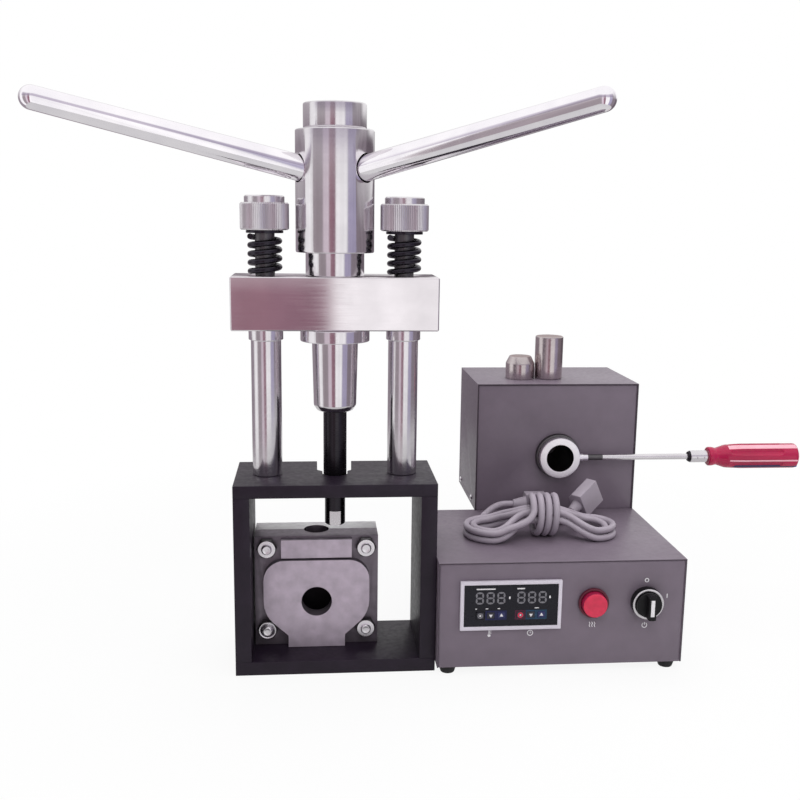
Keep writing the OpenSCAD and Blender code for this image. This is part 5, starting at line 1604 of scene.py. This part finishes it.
class INJECTOR_OT_marks(bpy.types.Operator):
    """Print plain pictograms on the control panel"""
    bl_idname = "injector.marks"
    bl_label = "Panel marks"

    METER_DROP, LAMP_DROP, SWITCH_DROP = 29 * MM, 22 * MM, 24 * MM
    NOUGHT, NOUGHT_UP = (1.3 * MM, 2.1 * MM), 21 * MM
    ONE, ONE_AT = (0.9 * MM, 4.2 * MM), (20.5 * MM, 5 * MM)

    def execute(self, context):
        meter, lamp, switch = middle("panel_meter"), middle("lamp_lens"), middle("switch_body")
        group, row = sizes().group_x, meter.z - self.METER_DROP
        one_x, one_z = self.ONE_AT
        pieces = [*self.thermometer(meter.x - group, row), *self.clock(meter.x + group, row),
                  *self.heat(lamp.x, lamp.z - self.LAMP_DROP),
                  *self.power(switch.x, switch.z - self.SWITCH_DROP),
                  printed_ring("nought", *self.NOUGHT, self.spot(switch.x, switch.z + self.NOUGHT_UP)),
                  printed_bar("one", *self.ONE, self.spot(switch.x + one_x, switch.z + one_z))]
        hand_over(coat(join("panel_marks", pieces), "white_marks"), "casing_paint", body="base")
        return {"FINISHED"}

    @staticmethod
    def spot(x, z, turn=0):
        """Place on the panel's front."""
        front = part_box("control_front_panel")[0].y
        return facing_front(x, front, z) @ Matrix.Rotation(turn, 4, "Z")

    def thermometer(self, x, z):
        bulb = rod("bulb", 1.5 * MM, SKIN, self.spot(x, z - 1.6 * MM), 32)
        ticks = [printed_bar("tick", 1.2 * MM, 0.5 * MM, self.spot(x + 1.6 * MM, z + up * MM))
                 for up in (0.4, 1.6, 2.8)]
        stem = printed_bar("stem", 1.1 * MM, 4.6 * MM, self.spot(x, z + MM))
        return [bevel(bulb, PRINT_EDGE, 1), stem, *ticks]

    def clock(self, x, z):
        return [printed_ring("dial", 2.2 * MM, 2.9 * MM, self.spot(x, z)),
                printed_bar("minute_hand", 0.6 * MM, 1.9 * MM, self.spot(x, z + 0.7 * MM)),
                printed_bar("hour_hand", 1.5 * MM, 0.6 * MM, self.spot(x + 0.6 * MM, z))]

    def heat(self, x, z):
        """Three waves, each of short slanted bars."""
        lean = math.radians(24)
        return [printed_bar("wave", 0.7 * MM, 2.0 * MM, self.spot(x + across * MM, z + up * MM, way * lean))
                for across in (-2.4, 0, 2.4) for up, way in ((1.7, 1), (0, -1), (-1.7, 1))]

    def power(self, x, z):
        ring = printed_ring("power_ring", 2.0 * MM, 2.7 * MM, self.spot(x, z))
        gap = block("power_gap", (x - 1.1 * MM, -1, z), (x + 1.1 * MM, 1, z + 4 * MM))
        return [cut_with(ring, gap), printed_bar("power_bar", 0.7 * MM, 2.8 * MM, self.spot(x, z + 1.7 * MM))]


class INJECTOR_OT_inlet(bpy.types.Operator):
    """Round the mains inlet in the rear wall"""
    bl_idname = "injector.inlet"
    bl_label = "Mains inlet"

    EDGE = 0.6 * MM

    def execute(self, context):
        piece = dress_copy("mains_inlet", "power_inlet", self.EDGE)
        hand_over(piece, "inlet_plastic", "power_inlet")
        return {"FINISHED"}


class INJECTOR_OT_core(bpy.types.Operator):
    """Round the heater core and its collar"""
    bl_idname = "injector.core"
    bl_label = "Heater core"

    EDGE = 0.8 * MM

    def execute(self, context):
        piece = dress_copy("heater_core_tube", "heater_core", self.EDGE)
        hand_over(piece, "core_metal", "heater_core")
        return {"FINISHED"}


class INJECTOR_OT_barrel(bpy.types.Operator):
    """Turn the barrel, its shaft and ferrule, and shape the fluted grip"""
    bl_idname = "injector.barrel"
    bl_label = "Barrel and grip"

    EAR_STEP, EAR_NECK, EAR_EDGE = 0.6, 0.88, 0.5 * MM
    BORE_SKIN, BORE_MOUTH = 0.02 * MM, 0.6 * MM
    BURNT, SHAFT_EDGE = 16 * MM, 0.3 * MM
    FERRULE_TAPER, FERRULE_NOSE, FERRULE_DARK, FERRULE_EDGE = 1.5 * MM, 3 * MM, 2.5 * MM, 0.5 * MM
    DIMPLES, DIMPLE_R, DIMPLE_DEPTH, PUNCH_LEN = (0.4, 0.75), 1.3 * MM, 1.2 * MM, 2 * MM
    COLLAR = ((0, 0), (9.25, 0), (10.25, 1), (10.25, 5), (9, 9))
    SWELL_FOOT, SWELL_TOP, WAIST_ROUND, GRIP_STEPS = 19.5 * MM, 34 * MM, 2 * MM, 16
    PALM, PALM_EDGE, PALM_ROUND = 2 * MM, 0.4 * MM, 1.2 * MM
    FLUTE_START, FLUTE_REST, RIDGE_EDGE = 20 * MM, 15 * MM, 0.6 * MM
    # STREAKS are the tilts, in degrees up from the front, of the painted highlight on the grip's ridges.
    STREAKS, STREAK_START = ((-16, -8), (48, 76)), 24 * MM
    STRIP_R, STRIP_START, STRIP_SINK, STRIP_TURN = 2 * MM, 26 * MM, 1.6 * MM, math.radians(-40)
    STRIP_POINT, STRIP_EDGE, DOT_RING, DOT_LEN = 3 * MM, 0.3 * MM, 2 * MM, 2.3 * MM

    def execute(self, context):
        self.turn_barrel()
        self.turn_shaft()
        self.turn_ferrule()
        self.shape_grip()
        return {"FINISHED"}

    def turn_barrel(self):
        s = sizes()
        lo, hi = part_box("injection_barrel")
        axis_z = (lo.z + hi.z) / 2
        flange_r = (hi.z - lo.z) / 2
        axis_x = lo.x + flange_r
        run = hi.y - lo.y
        bore, floor = s.barrel_bore, run - s.barrel_floor
        outline = [(bore, 0), (flange_r, 0), (flange_r, s.barrel_flange), (s.barrel_r, s.barrel_flange),
                   (s.barrel_r, run), (s.nozzle_r, run), (s.nozzle_r, floor), (bore, floor), (bore, 0)]
        place = facing_back(axis_x, lo.y, axis_z)
        piece = turn_on_lathe("barrel_tube", soften(outline, s.turned_edge), place, 128)
        ear_y = lo.y + s.barrel_flange / 2
        ear_run = hi.x - axis_x - s.barrel_r
        step, neck_r = self.EAR_STEP * ear_run, self.EAR_NECK * s.ear_r
        ear = [(0, 0), (s.ear_r, 0), (s.ear_r, step), (neck_r, step), (neck_r, ear_run), (0, ear_run)]
        place = facing_right(axis_x + s.barrel_r, ear_y, axis_z)
        cut_with(piece, turn_on_lathe("ear", soften(ear, self.EAR_EDGE), place, 48), "UNION")
        coat(piece, "barrel_metal", "barrel_bore")

        # Painted shade: the faces inside the bore, past its mouth, take the dark copy of the steel.
        def inside(face):
            centre = face.calc_center_median()
            off_axis = math.hypot(centre.x - axis_x, centre.z - axis_z)
            return off_axis < bore + self.BORE_SKIN and centre.y > lo.y + self.BORE_MOUTH

        coat_where(piece, 1, inside)
        hand_over(smooth(piece), "barrel_metal", "injection_barrel")

    def turn_shaft(self):
        lo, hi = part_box("handle_shaft")
        mid = (lo + hi) / 2
        r, run = (hi.z - lo.z) / 2, hi.x - lo.x
        outline = [(0, 0), (r, 0), (r, self.BURNT), (r, run), (0, run)]
        place = facing_right(lo.x, mid.y, mid.z)
        piece = turn_on_lathe("barrel_shaft", soften(outline, self.SHAFT_EDGE), place, 48)
        coat(piece, "screw_steel", "core_metal")
        coat_where(piece, 1, lambda face: face.calc_center_median().x < lo.x + self.BURNT)
        hand_over(piece, "screw_steel", "handle_shaft")

    def turn_ferrule(self):
        lo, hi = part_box("handle_ferrule")
        mid = (lo + hi) / 2
        r, run = (hi.z - lo.z) / 2, hi.x - lo.x
        outline = [(0, 0), (r - self.FERRULE_TAPER, 0), (r, self.FERRULE_NOSE), (r, run), (0, run)]
        place = facing_right(lo.x, mid.y, mid.z)
        piece = turn_on_lathe("barrel_ferrule", soften(outline, self.FERRULE_EDGE), place, 64)
        for share in self.DIMPLES:
            place = facing_front(lo.x + share * run, lo.y + self.DIMPLE_DEPTH, mid.z)
            cut_with(piece, rod("dimple", self.DIMPLE_R, self.PUNCH_LEN, place, 24))
        coat(smooth(piece), "screw_steel", "black_oxide")
        coat_where(piece, 1, lambda face: face.calc_center_median().x < lo.x + self.FERRULE_DARK)
        hand_over(piece, "screw_steel", "handle_ferrule")

    def shape_grip(self):
        """A turned handle with round-ended flutes cut along its middle."""
        s = sizes()
        lo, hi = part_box("handle_grip")
        mid = (lo + hi) / 2
        r, run = (hi.z - lo.z) / 2, hi.x - lo.x
        collar = [(out * MM, along * MM) for out, along in self.COLLAR]
        swell = [(r - MM, self.SWELL_FOOT), (r, self.SWELL_TOP)]
        steps, plain = self.GRIP_STEPS, run - self.SWELL_TOP - self.PALM
        straight = [(r, self.SWELL_TOP + plain * i / steps) for i in range(1, steps + 1)]
        palm = [straight[-1], (r - self.PALM_EDGE, run - self.PALM_EDGE), (r - self.PALM, run), (0, run)]
        waist = soften(collar + swell, self.WAIST_ROUND, 5)
        outline = waist[:-1] + straight + soften(palm, self.PALM_ROUND)[1:]
        piece = turn_on_lathe("barrel_grip", outline, steps=96)
        for flute in range(s.flutes):
            turn = Matrix.Rotation(flute * 2 * math.pi / s.flutes, 4, "Z")
            cut_with(piece, self.flute_cutter(turn @ shift(r + s.flute_r - s.flute_depth), run))
        bevel(piece, self.RIDGE_EDGE, 3, 25)
        place = facing_right(lo.x, mid.y, mid.z)
        put(piece, place)
        coat(smooth(piece, 40), "grip_plastic", "grip_streak")

        # Painted highlight: ridge faces at the listed tilts take the pale pink.
        def in_painted_highlight(face):
            spot = face.calc_center_median()
            out, up = mid.y - spot.y, spot.z - mid.z
            tilt = math.degrees(math.atan2(up, out))
            on_ridge = math.hypot(out, up) > r - self.RIDGE_EDGE
            return (on_ridge and lo.x + self.STREAK_START < spot.x < hi.x - MM
                    and any(low < tilt < high for low, high in self.STREAKS))

        coat_where(piece, 1, in_painted_highlight)
        hand_over(piece, "grip_plastic", "handle_grip")
        self.lay_strip(place @ Matrix.Rotation(self.STRIP_TURN, 4, "Z"), r, run)

    def flute_cutter(self, place, run):
        """A rod with ball ends, from the grip's waist to its shoulder."""
        r, start, stop = sizes().flute_r, self.FLUTE_START, run - self.FLUTE_REST
        quarter = [math.radians(10 * i) for i in range(10)]
        outline = ([(r * math.sin(a), start + r - r * math.cos(a)) for a in quarter]
                   + [(r * math.cos(a), stop - r + r * math.sin(a)) for a in quarter])
        return turn_on_lathe("flute", outline, place, 48)

    def lay_strip(self, place, grip_r, run):
        """The dark strip along the grip's lower ridge, with its blue end."""
        r, start, stop = self.STRIP_R, self.STRIP_START, run - self.PALM_EDGE
        outline = [(0, start), (0.5 * r, start), (r, start + self.STRIP_POINT), (r, stop - self.DOT_RING),
                   (r, stop), (0, stop)]
        place = place @ shift(grip_r - self.STRIP_SINK)
        strip = turn_on_lathe("grip_strip", soften(outline, self.STRIP_EDGE), place, 24)
        coat(strip, "grip_core", "grip_dot")
        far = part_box("handle_grip")[1].x - self.DOT_LEN
        coat_where(strip, 1, lambda face: face.calc_center_median().x > far)
        hand_over(strip, "grip_plastic", body="barrel")


class INJECTOR_OT_cylinders(bpy.types.Operator):
    """Turn the two loose cylinders that stand on the furnace"""
    bl_idname = "injector.cylinders"
    bl_label = "Loose cylinders"

    TALL_EDGE, SHORT_EDGE, CONE, STAIN = 1.6 * MM, 0.8 * MM, 8 * MM, 0.2 * MM

    def execute(self, context):
        self.turn("plunger", self.TALL_EDGE)
        self.turn("nozzle_cap", self.SHORT_EDGE, self.CONE)
        return {"FINISHED"}

    def turn(self, node, edge, cone=0):
        """A cylinder, with a coned top if it has one, left brown on top from the heat."""
        lo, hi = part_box(node)
        mid, r = middle(node), radius_of(node)
        head = [(r, hi.z - cone), (r - cone / 2, hi.z)] if cone else [(r, hi.z)]
        outline = [(0, lo.z), (r, lo.z), *head, (0, hi.z)]
        piece = turn_on_lathe("loose_" + node, soften(outline, edge), shift(mid.x, mid.y))
        coat(piece, "cartridge_metal", "cartridge_top")
        coat_where(piece, 1, lambda face: face.calc_center_median().z > hi.z - self.STAIN)
        hand_over(piece, "cartridge_metal", node)


class INJECTOR_PT_panel(bpy.types.Panel):
    """List of the injector's operators"""
    bl_label = "Injector"
    bl_idname = "INJECTOR_PT_panel"
    bl_space_type = "VIEW_3D"
    bl_region_type = "UI"
    bl_category = "Injector"

    def draw(self, context):
        for operator in OPERATORS:
            self.layout.operator(operator.bl_idname)


GROUPS = (("injector_view", InjectorView), ("injector_colours", InjectorColours),
          ("injector_sizes", InjectorSizes))
OPERATORS = (INJECTOR_OT_stage, INJECTOR_OT_lead, INJECTOR_OT_frame, INJECTOR_OT_columns,
             INJECTOR_OT_crosshead, INJECTOR_OT_springs, INJECTOR_OT_nuts, INJECTOR_OT_screw,
             INJECTOR_OT_hub, INJECTOR_OT_flask, INJECTOR_OT_casings, INJECTOR_OT_meter, INJECTOR_OT_lamp,
             INJECTOR_OT_switch, INJECTOR_OT_marks, INJECTOR_OT_inlet, INJECTOR_OT_core,
             INJECTOR_OT_barrel, INJECTOR_OT_cylinders)


def register():
    for attribute, group in GROUPS:
        bpy.utils.register_class(group)
        setattr(bpy.types.Scene, attribute, bpy.props.PointerProperty(type=group))
    for operator in OPERATORS:
        bpy.utils.register_class(operator)
    bpy.utils.register_class(INJECTOR_PT_panel)


def unregister():
    bpy.utils.unregister_class(INJECTOR_PT_panel)
    for operator in reversed(OPERATORS):
        bpy.utils.unregister_class(operator)
    for attribute, group in reversed(GROUPS):
        delattr(bpy.types.Scene, attribute)
        bpy.utils.unregister_class(group)


def main():
    register()
    make_finishes()
    for operator in OPERATORS:
        group, call = operator.bl_idname.split(".")
        getattr(getattr(bpy.ops, group), call)()
    deselect_all()


if __name__ == "__main__":
    main()
